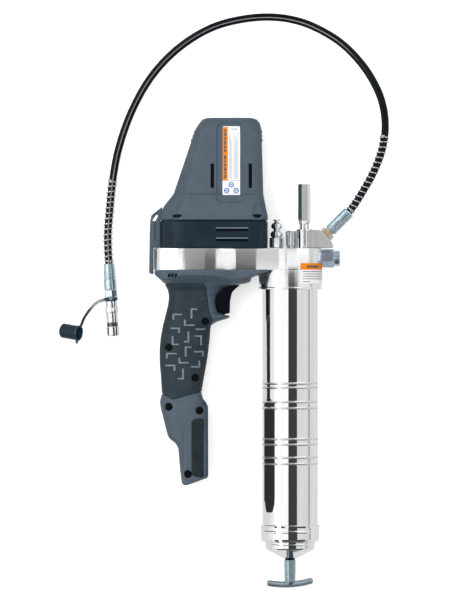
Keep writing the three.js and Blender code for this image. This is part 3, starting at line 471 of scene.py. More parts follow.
def tube(name, path, radius, resolution=6):
    """A round curve object along a path in millimetres."""
    data = bpy.data.curves.new(name, "CURVE")
    data.dimensions = "3D"
    data.bevel_depth = radius * MM
    data.bevel_resolution = resolution
    data.use_fill_caps = True
    spline = data.splines.new("POLY")
    spline.points.add(len(path) - 1)
    for point, spot in zip(spline.points, path):
        point.co = (*place(spot), 1)
    spline.use_smooth = True
    return put(name, data)


def sweep(path, section, sizes):
    """A closed solid of a section of (across, up) points along a path; sizes scale it at each point."""
    route = Route(path)
    rings = []
    for spot, (up, across), (wide, high) in zip(path, route.sides, sizes):
        rings.append([spot + across * (a * wide) + up * (b * high) for a, b in section])
    return skin(rings)


def circle(radius, count, x=0, y=0):
    angles = [i * tau / count for i in range(count)]
    return [(x + radius * cos(a), y + radius * sin(a)) for a in angles]


# ---- hose: the free cord ----

HOSE_R = 3.9
HOSE_STEPS = 40
GUARD_WIRE_R = 0.72
GUARD_TURNS = 17
HOSE_ROUTE = [
    (49.7, 48.7, 0), (62.4, 61.8, 0), (74.2, 79.3, -1.5), (87.8, 104.1, -5),
    (96, 128, -9.5), (98.3, 152.4, -14.5), (94.2, 176.6, -19.5), (82.9, 200.6, -24),
    (68.5, 219.9, -27.3), (52, 235.6, -29.6), (32.4, 247.9, -30.8), (11.8, 256.6, -31.1),
    (-14.4, 261.4, -31.1), (-45.3, 260, -31.1), (-80.1, 250.9, -31.1), (-114.6, 229.9, -31.1),
    (-142.1, 201.4, -31.1), (-162.7, 165.8, -31.1), (-176.6, 126.7, -30.7), (-182.8, 94.8, -29.8),
    (-186.3, 60.6, -29.2), (-188.1, 36, -28.5), (-187.8, 20, -28.2), (-187, 7.3, -28.2),
    (-186.1, -9.1, -28.2),
]


def add_hose():
    route = Route(smooth_path(HOSE_ROUTE))
    hose = dress(tube("hose", route.path, HOSE_R, 8), "hose_rubber", "hose_tube")
    with_hose = []
    for node, first, last in (("guard_inlet", 1, 6.35), ("guard_outlet", 33.75, 39)):
        start, end = (route.length * step / HOSE_STEPS for step in (first, last))
        wire = tube(node + "_wire", guard_wire(route, start, end), GUARD_WIRE_R, 3)
        with_hose.append(dress(wire, "spring_steel", node))
    return hose, with_hose


def guard_wire(route, start, end):
    """A wire wound round the hose, with its end turns closed up."""
    per_turn = 22
    radius = HOSE_R + 0.6
    closed = 1.2
    tight = 2.1 * GUARD_WIRE_R
    open_pitch = (end - start - 2 * GUARD_WIRE_R - 2 * closed * tight) / (GUARD_TURNS - 2 * closed)
    wire = []
    length = start + GUARD_WIRE_R
    for i in range(GUARD_TURNS * per_turn + 1):
        turn = i / per_turn
        spot, (up, across) = route.at(length)
        angle = turn * tau
        wire.append(spot + (up * cos(angle) + across * sin(angle)) * radius)
        pitch = tight if turn < closed or turn > GUARD_TURNS - closed else open_pitch
        length = min(length + pitch / per_turn, end - GUARD_WIRE_R)
    return wire


# ---- fittings on the hose ----

PORT = pose(36.4, 35.4, 0, radians(-45))
COUPLER = pose(-186.3, -5.2, -28.2, 0.058)


def hex_bar(across, y0, y1, turn=0, chamfer=0.6):
    corner, rise = across / sqrt(3), chamfer * 0.6
    profile = [(corner - chamfer, y0), (corner, y0 + rise), (corner, y1 - rise), (corner - chamfer, y1)]
    return lathe(profile, 6, 0, turn)


def crimps(count, depth, low, high):
    """Lengthways grooves pressed into a ferrule between two heights."""

    def ripple(angle, y):
        inside = min(1, max(0, (y - low) / 1.5), max(0, (high - y) / 1.5))
        return 1 - depth * inside * abs(cos(count * angle / 2)) ** 3

    return ripple


def add_inlet_fittings():
    add("adapter_nut", hex_bar(13.2, 0.4, 5.6, 0.3), "brassy_zinc", "outlet_adapter", PORT, 0.25)
    add("adapter_collar", lathe([(4.6, 5.2), (4.6, 7)]), "brassy_zinc", stand=PORT)
    shell = [(5.2, 6.8), (6.4, 8), (6.4, 10.4), (5.9, 10.9), (5.9, 11.6), (6.4, 12.1)]
    shell += [(6.4, 33.4), (5.7, 34.6), (HOSE_R + 0.4, 34.6), (HOSE_R + 0.4, 32)]
    shape = lathe(shell, 144, 0.4, 0, crimps(10, 0.17, 12.4, 33))
    return [add("ferrule_inlet", shape, "zinc", "hose_ferrule_inlet", PORT)]


def add_coupler():
    shell = [
        (6.1, -15.3), (6.5, -14.7), (6.5, -4.6), (5.9, -4.1), (5.9, -3.2), (6.5, -2.7), (6.4, -1.2),
        (5.8, -0.7), (5.8, 0.2), (6.1, 0.7), (5.6, 11.2), (5.2, 11.8),
        (HOSE_R + 0.4, 11.8), (HOSE_R + 0.4, 9),
    ]
    ferrule = lathe(shell, 144, 0.35, 0, crimps(8, 0.1, -14, -5))
    neck = lathe([(4.7, -22.7), (4.7, -26.5), (5.6, -26.8), (5.9, -27.2), (5.9, -33.2)])
    scallops = lambda angle, y: 1 - 0.09 * abs(sin(4 * angle)) ** 1.5
    knurl = lathe([(6.1, -32.8), (6.8, -33.8), (6.8, -37.8), (6.1, -39)], 96, 0.3, 0, scallops)
    sleeve = lathe([(5.9, -38.8), (5.9, -48.2), (6.3, -48.8), (5.2, -49.4)])
    nose = [(5.4, -52.8), (6.3, -53.3), (6.6, -53.9), (6.6, -62.3), (5.9, -63.1), (1.9, -63.1), (1.9, -55)]
    body = merged(neck, knurl, sleeve, lathe(nose))
    return [
        add("ferrule_outlet", ferrule, "zinc", "hose_ferrule_outlet", COUPLER),
        add("coupler_hex", hex_bar(11.6, -22.6, -15.6, 0.2), "zinc", "coupler_nut", COUPLER, 0.25),
        add("coupler_shell", body, "turned_chrome", "coupler_body", COUPLER),
        # A dark band filling the groove between the sleeve and the nose.
        add("coupler_groove", lathe([(5.7, -49), (5.7, -53.2)]), "dark_groove_band", stand=COUPLER),
    ]


# The cap's stand within the coupler's.
CAP = pose(-52, -54.2, -0.05, radians(-103)) @ Matrix.Rotation(radians(29), 4, "X")
STRAP_ROUTE = [
    (-5.6, -24.7, 0), (-13.8, -26.9, -0.6), (-22.2, -34.2, 0.6), (-28.6, -42.6, 4.6), (-32.8, -51.4, 9),
]


def add_dust_cap():
    cup = [(6.6, 0), (7.5, 1), (7.5, 17.6), (8, 18.2), (8, 20.4), (6.5, 20.4), (6.3, 19.6), (6.3, 2)]
    tab = slab(fillet([(6.5, 18.5), (10.8, 18.5, 1.6), (10.8, 20.2), (6.5, 20.2)]), -1.6, 1.6)
    grips = lambda angle, y: 1 + (0.012 * cos(24 * angle) if 2 < y < 17 else 0)
    cap = moved(merged(lathe(cup, 96, 0.5, 0, grips), tab), CAP)
    route = smooth_path(STRAP_ROUTE, 8)
    section = fillet([(-1.45, -0.9, 0.5), (1.45, -0.9, 0.5), (1.45, 0.9, 0.5), (-1.45, 0.9, 0.5)], steps=3)
    strap = sweep(route, section, [(1, 1)] * len(route))
    eye = turned([(4.8, -26.3), (6.9, -26.3), (6.9, -23.1), (4.8, -23.1)], closed=True)
    shape = merged(cap, strap, eye)
    return [add("dust_cap_rubber", shape, "black_rubber", "dust_cap", COUPLER, body="dust_cap")]


# ---- pump head ----


def head_plan():
    """Plan of the head as (x, z): a round nose, a waist, and a round lobe over the barrel."""
    lobe_r, nose_x, nose_r, waist = 33, -113, HALF_DEPTH, 28.4
    lobe_end = radians(110)
    upper = [(lobe_r * cos(a), lobe_r * sin(a)) for a in (lobe_end * k / 60 for k in range(61))]
    rise = (upper[-1][1] - waist - 0.35) / (upper[-1][0] + 33)
    upper += [(x, waist + 0.35 + rise * (x + 33)) for x in (-12, -32, -33)] + [(-36, waist), (-55, waist)]
    flank = list(zip((-55, waist), (-60, waist), (-72, nose_r), (-88, nose_r)))
    for t in (k / 28 for k in range(1, 29)):
        s = 1 - t
        weights = (s**3, 3 * s * s * t, 3 * s * t * t, t**3)
        upper.append(tuple(sum(w * p for w, p in zip(weights, line)) for line in flank))
    corners = [(-88, nose_r), (nose_x, nose_r, 24), (-135.5, 24.6, 9), (-140, 14, 12), (-140, 0)]
    nose = [tuple(p) for p in fillet(corners, closed=False, steps=10)][1:-1]
    nose += [(x, -z) for x, z in reversed(nose)]
    lower = [(x, -z) for x, z in reversed(upper[1:])]
    return upper + nose + lower


def add_pump_head():
    edge = [(0, 0.9), (0.1, 0.45), (0.45, 0.1), (0.9, 0)]
    levels = edge + [(HEAD_TOP - y, inset) for y, inset in reversed(edge)]
    head = build("head_casting", upright(head_plan(), levels))
    combine(head, block(31.8, 40, 1.5, 21.9, -10.6, 10.6))
    dress(head, "cast_chrome", "pump_head")
    profile = [(29.3, -20), (32.8, -20), (33, -19.6), (33, -18.4), (32.5, -17.6), (32.5, 1), (29.3, 1)]
    add("head_collar", turned(profile, 128, 0.4, closed=True), "cast_chrome")


def add_head_fittings():
    along = pose(0, 12, 0, radians(-90))
    plug = hex_bar(17, 32.1, 45.8, radians(16.4), 0.9)
    add("end_plug_hex", plug, "blue_zinc", "pump_end_plug", along, 0.3)
    add("end_plug_boss", lathe([(8, 45), (8, 50.6), (7.2, 51.5)]), "zinc", stand=along)

    x = 15
    block_side = fillet([(x, 22.8), (44.6, 22.8, 1.2), (43, 29, 5), (30.4, 41.2, 2), (x, 41.2)])
    add("outlet_block_body", slab(block_side, -12.5, 12.5), "satin_steel", "outlet_block", edge=0.6)
    tower = lathe([(7.9, 22.8), (8, 23), (8, 39.6), (8.6, 40), (8.6, 41.4), (8, 42), (5.6, 42.4)])
    add("outlet_block_tower", tower, "turned_chrome", stand=pose(x, 0, 4.8))

    middle = pose(x - 0.2, 0, 0)
    valve = hex_bar(11.5, 50.7, 88.6, radians(39), 0.6)
    add("relief_valve_hex", valve, "satin_chrome", "relief_valve", middle, 0.3)
    neck = build("relief_valve_neck", lathe([(5, 42.4), (5, 46.9), (5.5, 47.6), (5.9, 50.9)]), middle)
    hole = moved(slab(circle(1.1, 20, 2.2, 47.8), 0, 9), middle)
    dress(combine(neck, hole), "turned_chrome")

    loader = [(5.6, 22.8), (5.6, 24.4), (6.5, 25.2), (6.5, 39.2), (5.7, 40.3), (3.2, 40.3), (3.2, 38.6)]
    add("loader_plug_body", lathe(loader), "turned_chrome", "loader_plug", pose(2, 0, -7))

    middle = pose(-13.8, 0, 0)
    bleeder = hex_bar(13, 22.8, 33.4, 0.35, 0.7)
    add("bleeder_hex", bleeder, "turned_chrome", "bleeder_body", middle, 0.3, slot="steel")
    bulb = lathe([(4.6, 33), (6.2, 34.9), (6.5, 36.4), (6.2, 38), (5, 39.6), (3.4, 40.4)], 48, 2)
    add("bleeder_bulb", bulb, "turned_chrome", stand=middle, slot="steel")
    stem = [(3, 39), (3.2, 41.9), (4.8, 42.4), (5.8, 44.6), (5.2, 47.2), (2.4, 49.2), (2, 50.4)]
    button = lathe(stem + [(3.9, 50.8), (4, 51.7), (3.4, 52)], 48, 0.9)
    add("bleeder_button", button, "turned_chrome", "bleeder_stem", middle, body="bleeder_stem")


# ---- barrel ----

BARREL_R = 28.6
BARREL_TOP = -4.6
BARREL_BOTTOM = -269.5
BEADS = (-116.8, -121, -135.9, -142.2, -174, -179.6, -193, -199.4)


def add_barrel():
    inner = BARREL_R - 1.2
    outside, rings = [(inner, BARREL_TOP), (BARREL_R, BARREL_TOP)], []
    for bead in BEADS:
        for k in range(-5, 6):
            height = max(0, 0.25 + 0.25 * cos(k * pi / 4)) if abs(k) < 4 else 0
            outside.append((BARREL_R + height, bead - k * 0.33))
        section = [(-0.4, -1), (0.1, -1), (0.6, 0), (0.1, 1), (-0.4, 1)]
        rings.append(turned([(BARREL_R + r, bead + y) for r, y in section], 128, 0.4, closed=True))
    outside += [(BARREL_R, BARREL_BOTTOM), (inner, BARREL_BOTTOM)]
    tube_wall = turned(outside, 160, 0, closed=True)
    add("barrel_tube", tube_wall, "chrome", "barrel", body="barrel", sharp=50)
    add("barrel_beads", merged(*rings), "rolled_chrome", body="barrel")

    outside = [
        (29, -262.9), (30.3, -262.4), (30.9, -263.1), (30.1, -265.2), (30, -268),
        (30.4, -268.8), (30.4, -270), (30, -270.8), (29.8, -277), (28.8, -279.2), (26.4, -279.9),
        (25.8, -280.4), (25.6, -282), (25.9, -282.7), (25.5, -283.6), (25.3, -286.4), (24.4, -287.8),
        (8.2, -296.2), (6.6, -296.8), (5.5, -296.8), (5.5, -295.2), (24.2, -285.2),
        (24.2, -270.4), (29, -270),
    ]
    shell = turned(outside, 160, 0.5, closed=True)
    add("end_cap_shell", shell, "chrome", "barrel_end_cap", body="barrel", sharp=50)
    gland = hex_bar(9.4, -299, -291.5, 0.2, 0.5)
    add("rod_gland_hex", gland, "black_steel", "rod_gland", edge=0.2, body="barrel")


def add_t_handle():
    turn = Matrix.Rotation(radians(18), 4, "Y")
    hub = [(0, -298.4), (5.4, -298.4), (5.9, -299.2), (5.9, -314), (5.6, -321), (4, -324.4), (0, -325.2)]
    ribs = lambda angle, y: 1 - 0.07 * abs(cos(3 * angle)) ** 5
    half_span, steps = 25.6, 32
    path, sizes = [], []
    for k in range(steps + 1):
        t = -1 + 2 * k / steps
        path.append(Vector((half_span * t, -323.9 + 3.2 * t * t + 1.1 * t, 0)))
        end = max(0.05, sqrt(max(0, 1 - (max(0, abs(t) - 0.88) / 0.12) ** 2)))
        sizes.append((3.1 * end, 3.1 * end))
    bar = sweep(path, [(c + 0.1 * c**9, s) for c, s in circle(1, 24)], sizes)
    piece = build("t_handle_casting", merged(turned(hub, 64, 0.6, 0, ribs), bar), turn)
    mould(piece, 0.35, 2, "cast_zinc", "t_handle", "follower_rod")


# ---- gearcase and motor cover ----

# (y, left, right, half depth, facet width and depth at the left, its edge radius, corner radius at the right)
COVER_SECTIONS = [
    (51.5, -133.9, -22.8, 35, 20, 18, 13, 12),
    (55.2, -133.2, -22.8, 35, 20, 18, 13, 12),
    (65.2, -130.2, -25, 34.6, 19, 18, 13, 12),
    (76.8, -121, -27.3, 34.1, 15, 17, 10, 11),
    (78.6, -119.8, -27.5, 32.4, 11.8, 15, 3, 11),
    (105, -110.8, -28.2, 31.5, 9.6, 14, 3, 11),
    (131.4, -101.9, -29, 30.6, 7.4, 13, 3, 11),
    (145.4, -97, -29.6, 30, 7, 12, 4, 11),
    (150.8, -93.4, -31, 28.8, 7, 11, 5, 10),
    (154.6, -90.4, -34, 26.6, 7, 10, 5, 9),
    (156.4, -86, -39, 22.6, 6, 8, 5, 7),
]
COVER_SCREWS = [(-115.8, 29.3), (-33.6, 30), (-115.8, -29.3), (-33.6, -30)]
PANEL_DEPTH = 1.5
VENTS_X = (-79.9, -40.9)


def cover_front(y):
    """Half the cover's depth at a height."""
    return read([(s[0], s[3]) for s in reversed(COVER_SECTIONS)], y)


def cover_outline(left, right, half, facet, drop, edge, corner):
    corners = [(right, -half, corner), (right, half, corner), (left + facet, half, edge)]
    corners += [(left, half - drop, 10), (left, drop - half, 10), (left + facet, -half, edge)]
    return fillet(corners, steps=8)


def on_cover(x0, x1, y0, y1, depth_from, depth_to, corner=0):
    """A patch that follows the cover's front face between two depths below it."""
    rows = {y0, y1} | {s[0] for s in COVER_SECTIONS if y0 < s[0] < y1}
    for k in range(9):
        step = corner * (1 - cos(k * pi / 16))
        rows |= {y0 + step, y1 - step}
    rings = []
    for y in sorted(rows):
        near = min(y - y0, y1 - y, corner)
        inset = corner - sqrt(max(0, corner**2 - (corner - near) ** 2))
        deep, high = cover_front(y) - depth_to, cover_front(y) - depth_from
        left, right = x0 + inset, x1 - inset
        rings.append([(left, y, deep), (right, y, deep), (right, y, high), (left, y, high)])
    return skin(rings)


def dense(outline):
    """An outline with a point every 3 mm or so, so that it can follow a curved face."""
    found = []
    for a, b in zip(outline, outline[1:] + outline[:1]):
        a, b = Vector(a), Vector(b)
        count = max(1, round((b - a).length / 3))
        found += [a.lerp(b, k / count) for k in range(count)]
    return found


def add_motor_cover():
    rings = [[(x, y, z) for x, z in cover_outline(*shape)] for y, *shape in COVER_SECTIONS]
    cover = build("cover_shell", skin(rings))
    cut_both(cover, on_cover(-75.4, -47.4, 69, 151, -4, PANEL_DEPTH, 6))
    for x in VENTS_X:
        vent = fillet([(x - 1.7, 84, 1), (x + 1.7, 84, 1), (x + 1.7, 109, 1), (x - 1.7, 109, 1)])
        cut_both(cover, slab(vent, 25, 40))
    scoop = turned([(0, 53), (10, 53), (9, 66), (6, 76), (0, 80)], 48, 2)
    for x, _ in COVER_SCREWS[:2]:
        cut_both(cover, moved(scoop, pose(x, 0, 42.4)))
        slit = fillet([(x - 6.8, 55.8, 0.5), (x, 54.3, 6), (x + 6.8, 55.8, 0.5), (x, 57, 6)])
        cut_both(cover, slab(slit, 23, 40))
    for k in range(3):
        y = 133.4 + 4.3 * k
        left = -101.9 + (y - 131.4) * 0.35
        right = -29 - (y - 131.4) * 0.043
        combine(cover, block(left - 0.9, left + 8, y - 1.2, y + 1.2, -14, 14), "UNION")
        combine(cover, block(right - 8, right + 0.8, y - 1.2, y + 1.2, -18, 18), "UNION")
    mould(cover, 0.5, 4, "slate_plastic", "motor_cover")
    # Black slabs at the bottoms of the vent slots: painted shade inside the vents.
    dark = [on_cover(x - 1.5, x + 1.5, 84.2, 108.8, 1.7, 3.5) for x in VENTS_X]
    add_both("cover_vent_shade", merged(*dark), "black_plastic")


def add_gearcase():
    corners = [(-23, -35, 12), (-23, 35, 12), (-134, 35, 26), (-134, -35, 26)]
    levels = [(22.8, 0.3), (23.2, 0), (49.6, 0), (49.8, 1.2), (51.2, 1.3)]
    case = build("gearcase_shell", upright(fillet(corners, steps=20), levels))
    slots, lip_highlights, slot_shades = [], [], []
    for y in (30.6, 41):
        corners = [(-76.4, y - 1.5, 0.7), (-43, y - 1.5, 0.7), (-43, y + 2.4, 0.7), (-76.4, y + 2.4, 0.7)]
        slots.append(slab(fillet(corners), 32.2, 40))
        # A lighter strip under each slot's upper edge: a painted highlight on its lip.
        lip_highlights.append(block(-76.2, -43.2, y + 1.5, y + 2.5, 31.8, 34.9))
        # A black slab at the bottom of each slot: painted shade in the slot.
        slot_shades.append(block(-76.2, -43.2, y - 1.3, y + 1.5, 31.8, 33))
    slots.append(block(-41.4, -10, 20, 60, 34.4, 40))
    for shape in slots:
        cut_both(case, shape)
    mould(case, 0.5, 3, "dark_plastic", "gearcase")
    add_both("gearcase_lip_highlights", merged(*lip_highlights), "lip_highlight")
    add_both("gearcase_slot_shade", merged(*slot_shades), "black_plastic")


def add_rear_bracket():
    outline = [
        (-145.1, -3.4, 0.6), (-140.6, -4.8, 0.6), (-140.5, 22.9, 0.3), (-133.2, 22.9, 0.3),
        (-133.2, 51.5, 1), (-130.9, 65.8, 0.8), (-142.7, 56.4, 4), (-143.9, 50.3, 3),
        (-144.5, 37.8, 0.5),
    ]
    bracket = build("bracket_spine", slab(fillet(outline), -12, 12))
    window = fillet([(-142.2, 50.8, 1), (-138.8, 50, 1), (-135.6, 56, 1), (-137.4, 57.4, 1)])
    combine(bracket, slab(window, -13, 13))
    for side in (1, -1):
        combine(bracket, block(-139.2, -133, 30, 60, side * 12 - 1.2, side * 12 + 1.2))
    mould(bracket, 0.4, 3, "slate_plastic", "rear_strap_bracket")


# ---- handle ----

HANDLE_LEFT = [
    (-0.3, -140), (-4.8, -139.5), (-14.1, -129), (-21, -125.2), (-28.3, -124.3), (-35.6, -125.2),
    (-46.8, -128), (-57.7, -130.8), (-70.7, -133.1), (-84, -134.1), (-95.5, -133.9), (-111.1, -132.6),
    (-126.7, -131.7), (-134.5, -134.2), (-142.4, -133.2), (-151.8, -130.8), (-170, -126.2), (-174, -124.1),
    (-177.9, -118.2), (-183.3, -115.1), (-203.8, -113.5), (-219.3, -111.5),
]
HANDLE_RIGHT = [
    (-0.3, -17.9), (-5.6, -32.5), (-7.2, -39.4), (-13.4, -41), (-14.9, -51.5), (-17.3, -67.4),
    (-25.8, -74.7), (-33.9, -76), (-44.6, -72.8), (-46.2, -61.8), (-48.9, -61.6), (-51.2, -66),
    (-52.2, -74), (-57.7, -82), (-70.7, -82.9), (-90.8, -85.3), (-113.8, -89.4), (-124.5, -91.2),
    (-129, -90.6), (-133.4, -89.1), (-136.6, -85.9), (-144, -84.6), (-214, -84.4),
]
HANDLE_DEPTH = [
    (-0.3, 34.6), (-5.6, 34.2), (-9, 30), (-14.1, 23.5), (-21, 19), (-45, 17.8), (-100, 17.2), (-129, 17.8),
    (-142, 19.6), (-230, 20),
]
HANDLE_SQUARENESS = [
    (-0.3, 8), (-7.2, 6), (-14.1, 3.8), (-28, 2.7), (-120, 2.5), (-142, 3.4), (-177, 4.2), (-230, 4.4),
]
HANDLE_SCREWS = [
    (-87.1, -53.1), (-124.9, -79.6), (-97.2, -110.9), (-124.9, -140.7), (-92.9, -144.5), (-104.9, -209.8),
]
PAD_OUTLINE = [
    (-150, -19), (-129.5, -14.6, 3), (-90, -14.4, 3), (-86.7, -17.5, 3), (-83.6, -43, 5), (-80.6, -50, 2),
    (-81.6, -60), (-60, -62), (-60, -118), (-91.3, -124.9), (-120.6, -132.7, 4), (-131.7, -126.7),
    (-150, -124),
]
# The handle's own outline round its foot; elsewhere it stays clear of the handle.
FOOT_OUTLINE = [
    (-160, 5), (20, 5), (20, -131), (-84.4, -134), (-84.2, -213.4, 3.5), (-111.6, -223.3, 5),
    (-114, -203), (-160, -180),
]
PAD_DEPTH = 1.5
FLANGE_VENTS = (-124.6, -120.9, -117.3)
PAD_STANDS_PROUD = 0.35
FRONT_HALF = block(-160, 0, -240, 1, 0.2, 60)


def read(table, y):
    """Straight-line reading of a table of (y, value) rows whose y falls."""
    y = min(max(y, table[-1][0]), table[0][0])
    for (y1, v1), (y0, v0) in zip(table, table[1:]):
        if y >= y0:
            return v0 + (v1 - v0) * (y - y0) / (y1 - y0)


def soft_read(table, y):
    """The table read with its corners eased over a few millimetres."""
    return sum(read(table, y + shift) * weight for shift, weight in ((-1.4, 0.25), (0, 0.5), (1.4, 0.25)))


def handle_section(y, inset=0):
    left = soft_read(HANDLE_LEFT, y) + inset
    right = soft_read(HANDLE_RIGHT, y) - inset
    depth, power = read(HANDLE_DEPTH, y) - inset, 2 / read(HANDLE_SQUARENESS, y)
    return (left + right) / 2, (right - left) / 2, depth, power


def handle_loft(inset=0, count=56):
    levels = [-0.3 - 0.85 * k for k in range(24)] + [-21 - 1.4 * k for k in range(25)]
    levels += [-56 - 2.4 * k for k in range(73)]
    rings = []
    for y in reversed(levels):
        centre, half, depth, power = handle_section(y, inset)
        ring = []
        for i in range(count):
            across, up = cos((i + 0.5) * tau / count), sin((i + 0.5) * tau / count)
            x = centre + half * copysign(abs(across) ** power, across)
            ring.append((x, y, depth * copysign(abs(up) ** power, up)))
        rings.append(ring)
    return skin(rings)


def handle_surface(x, y):
    """Height of the handle's front surface above its middle plane."""
    centre, half, depth, power = handle_section(y)
    reach = min(1, abs(x - centre) / half)
    return depth * (1 - reach ** (2 / power)) ** (power / 2)


def screw_wells():
    tops = [(x, y, handle_surface(x, y)) for x, y in HANDLE_SCREWS]
    return merged(*(slab(circle(4.1, 32, x, y), top - 3.4, top + 6) for x, y, top in tops))


def add_handle():
    shell = build("handle_front_shell", handle_loft())
    keep = build("keep", upright(inset_outline(head_plan(), 0.5), [(-12, 0), (1, 0)]))
    combine(keep, block(-160, 0, -240, -11.9, -40, 40), "UNION")
    combine(shell, shape_of(keep), "INTERSECT")
    foot = fillet([(-109.5, -240), (-109.5, -164, 22), (-97, -143, 12), (-76, -137.5), (-76, -240)], steps=8)
    raised = build("raised", handle_loft(-2.2))
    combine(raised, slab(dense(foot), -40, 40), "INTERSECT")
    combine(shell, shape_of(raised), "UNION")
    combine(shell, slab(fillet(FOOT_OUTLINE, steps=8), -40, 40), "INTERSECT")
    panel = fillet([(-101.2, -211.5, 3), (-88.2, -214.8, 3), (-88.2, -152, 3), (-101.2, -153, 6)])
    cut_both(shell, slab(panel, 20.1, 40))
    combine(shell, lathe([(33.7, -30), (33.7, 2)], 96, 0))
    combine(shell, block(-99, -44, -46.6, -15, -8.6, 8.6))
    bed = build("bed", slab(dense(inset_outline(fillet(PAD_OUTLINE), -0.45)), -40, 40))
    combine(bed, handle_loft(PAD_DEPTH + 0.3))
    combine(shell, shape_of(bed))
    combine(shell, FRONT_HALF, "INTERSECT")
    back = build("handle_back_shell", flipped(shape_of(shell, keep=True)))
    combine(shell, screw_wells())
    vents, dark = [], []
    level = handle_surface(-121, -5.6) - 1
    for x in FLANGE_VENTS:
        vents.append(slab([(x - 1.5, -7.6), (x + 0.4, -7.6), (x + 1.7, -3.6), (x - 0.2, -3.6)], 28, 40))
        # Black slabs inside the vent cuts: painted shade in the vents.
        dark.append(slab([(x - 1.3, -7.4), (x + 0.1, -7.4), (x + 1.3, -3.8), (x - 0.1, -3.8)], 27, level))
    combine(shell, merged(*vents))
    add("flange_vent_shade", merged(*dark), "black_plastic")
    mould(shell, 0.6, 5, "slate_plastic", "handle_front")
    mould(back, 0.6, 5, "slate_plastic", "handle_back")
    add_both("foot_panel", slab(inset_outline(panel, 0.5), 19.2, 20.5), "foot_panel")


def shape_of(piece, keep=False):
    """The shape of a built piece, back in the drawing frame; the piece is used up unless it is kept."""
    points = [(v.co - ORIGIN) / MM for v in piece.data.vertices]
    faces = [list(p.vertices) for p in piece.data.polygons]
    if not keep:
        bpy.data.objects.remove(piece)
    return points, faces


def add_grip_pads():
    pad = build("grip_pad_front_rubber", handle_loft(-PAD_STANDS_PROUD))
    combine(pad, slab(dense(fillet(PAD_OUTLINE)), -40, 40), "INTERSECT")
    combine(pad, handle_loft(PAD_DEPTH))
    combine(pad, block(-99, -55, -46.6, -15.8, -8.6, 8.6))
    combine(pad, FRONT_HALF, "INTERSECT")
    back = build("grip_pad_back_rubber", flipped(shape_of(pad, keep=True)))
    combine(pad, screw_wells())
    mould(pad, 0.5, 3, "grip_rubber", "grip_pad_front")
    mould(back, 0.5, 3, "grip_rubber", "grip_pad_back")


# The raised marks on the grip: a corner, and how far its two arms reach across and along.
GRIP_MARKS = [
    (-101.4, -40.3, 6, -9.6), (-119.9, -45.8, 8.9, -5.5), (-108.2, -56.8, 10.1, 5.5),
    (-96.3, -61, 9.2, 0), (-114.2, -60, -8.8, -4.6), (-120.8, -76.6, 6.6, 8.7),
    (-104.6, -73.8, -4.6, 10.5), (-91.5, -68, -6.6, -9.5), (-126.6, -86, 10.1, -5),
    (-107.3, -79.4, 6, -9.6), (-89.6, -84, -9.4, -5), (-113.8, -95.4, 9.6, 5),
    (-93.3, -99.6, -9, 6.4), (-118.8, -98.2, -9.7, -5.5), (-110.1, -111.8, -5.5, 10.4),
]


def grip_rib(x0, y0, x1, y1, width):
    """A low rib along a line on the grip, which follows its surface."""
    start, end = Vector((x0, y0)), Vector((x1, y1))
    along = (end - start).normalized()
    across = Vector((-along.y, along.x)) * (width / 2)
    rings = []
    for k in range(9):
        middle = start.lerp(end, k / 8)
        section = []
        for share, lift in ((-1, -0.8), (-1, 0.55), (-0.72, 0.95), (0.72, 0.95), (1, 0.55), (1, -0.8)):
            spot = middle + across * share
            section.append((spot.x, spot.y, handle_surface(spot.x, spot.y) + lift))
        rings.append(section)
    return skin(rings)


def add_grip_marks():
    ribs = []
    for x, y, across, along in GRIP_MARKS:
        reach = copysign(0.9, across)
        ribs.append(grip_rib(x - reach, y, x + across, y, 1.7))
        if along:
            ribs.append(grip_rib(x, y, x, y + along, 2))
    add_both("grip_marks", merged(*ribs), "grip_marks")


def screw_head(radius, height):
    """A screw's head about Y with its top at y = 0 and a six-lobed socket."""
    head = build("head", lathe([(radius, -height), (radius, -0.8), (radius - 0.7, 0)], 40))
    lobes = []
    for angle in (tau * i / 48 for i in range(48)):
        reach = radius * (0.42 + 0.1 * cos(6 * angle))
        lobes.append((reach * cos(angle), reach * sin(angle)))
    combine(head, upright(lobes, [(-1.6, 0), (1, 0)]))
    return shape_of(head)


def add_screws():
    stands = [pose(x, y, handle_surface(x, y) - 0.9, pi / 2, "X") for x, y in HANDLE_SCREWS]
    add_screw_set("handle", screw_head(3.5, 2.6), stands)
    add_screw_set("cover", screw_head(4.8, 3.2), [pose(x, 56.9, z) for x, z in COVER_SCREWS])


def add_screw_set(where, head, stands):
    for number, stand in enumerate(stands, 1):
        node = f"{where}_screw_{number}"
        add(node + "_head", head, "black_steel", node, stand)


def add_trigger():
    outline = [
        (-88, -18.5), (-72, -15.9, 2), (-58, -15.4), (-52, -15.4), (-52, -16.4), (-54.3, -17.8, 8),
        (-59.8, -23, 8), (-61.6, -32, 8), (-62, -44.4, 1.5), (-68, -45.9, 2), (-80, -45.6, 2), (-88, -38, 2),
    ]
    piece = build("trigger_lever", slab(fillet(outline, steps=8), -8, 8))
    dress(bevel(piece, 1.2, 4), "black_plastic", "trigger", "trigger")


# ---- stickers ----


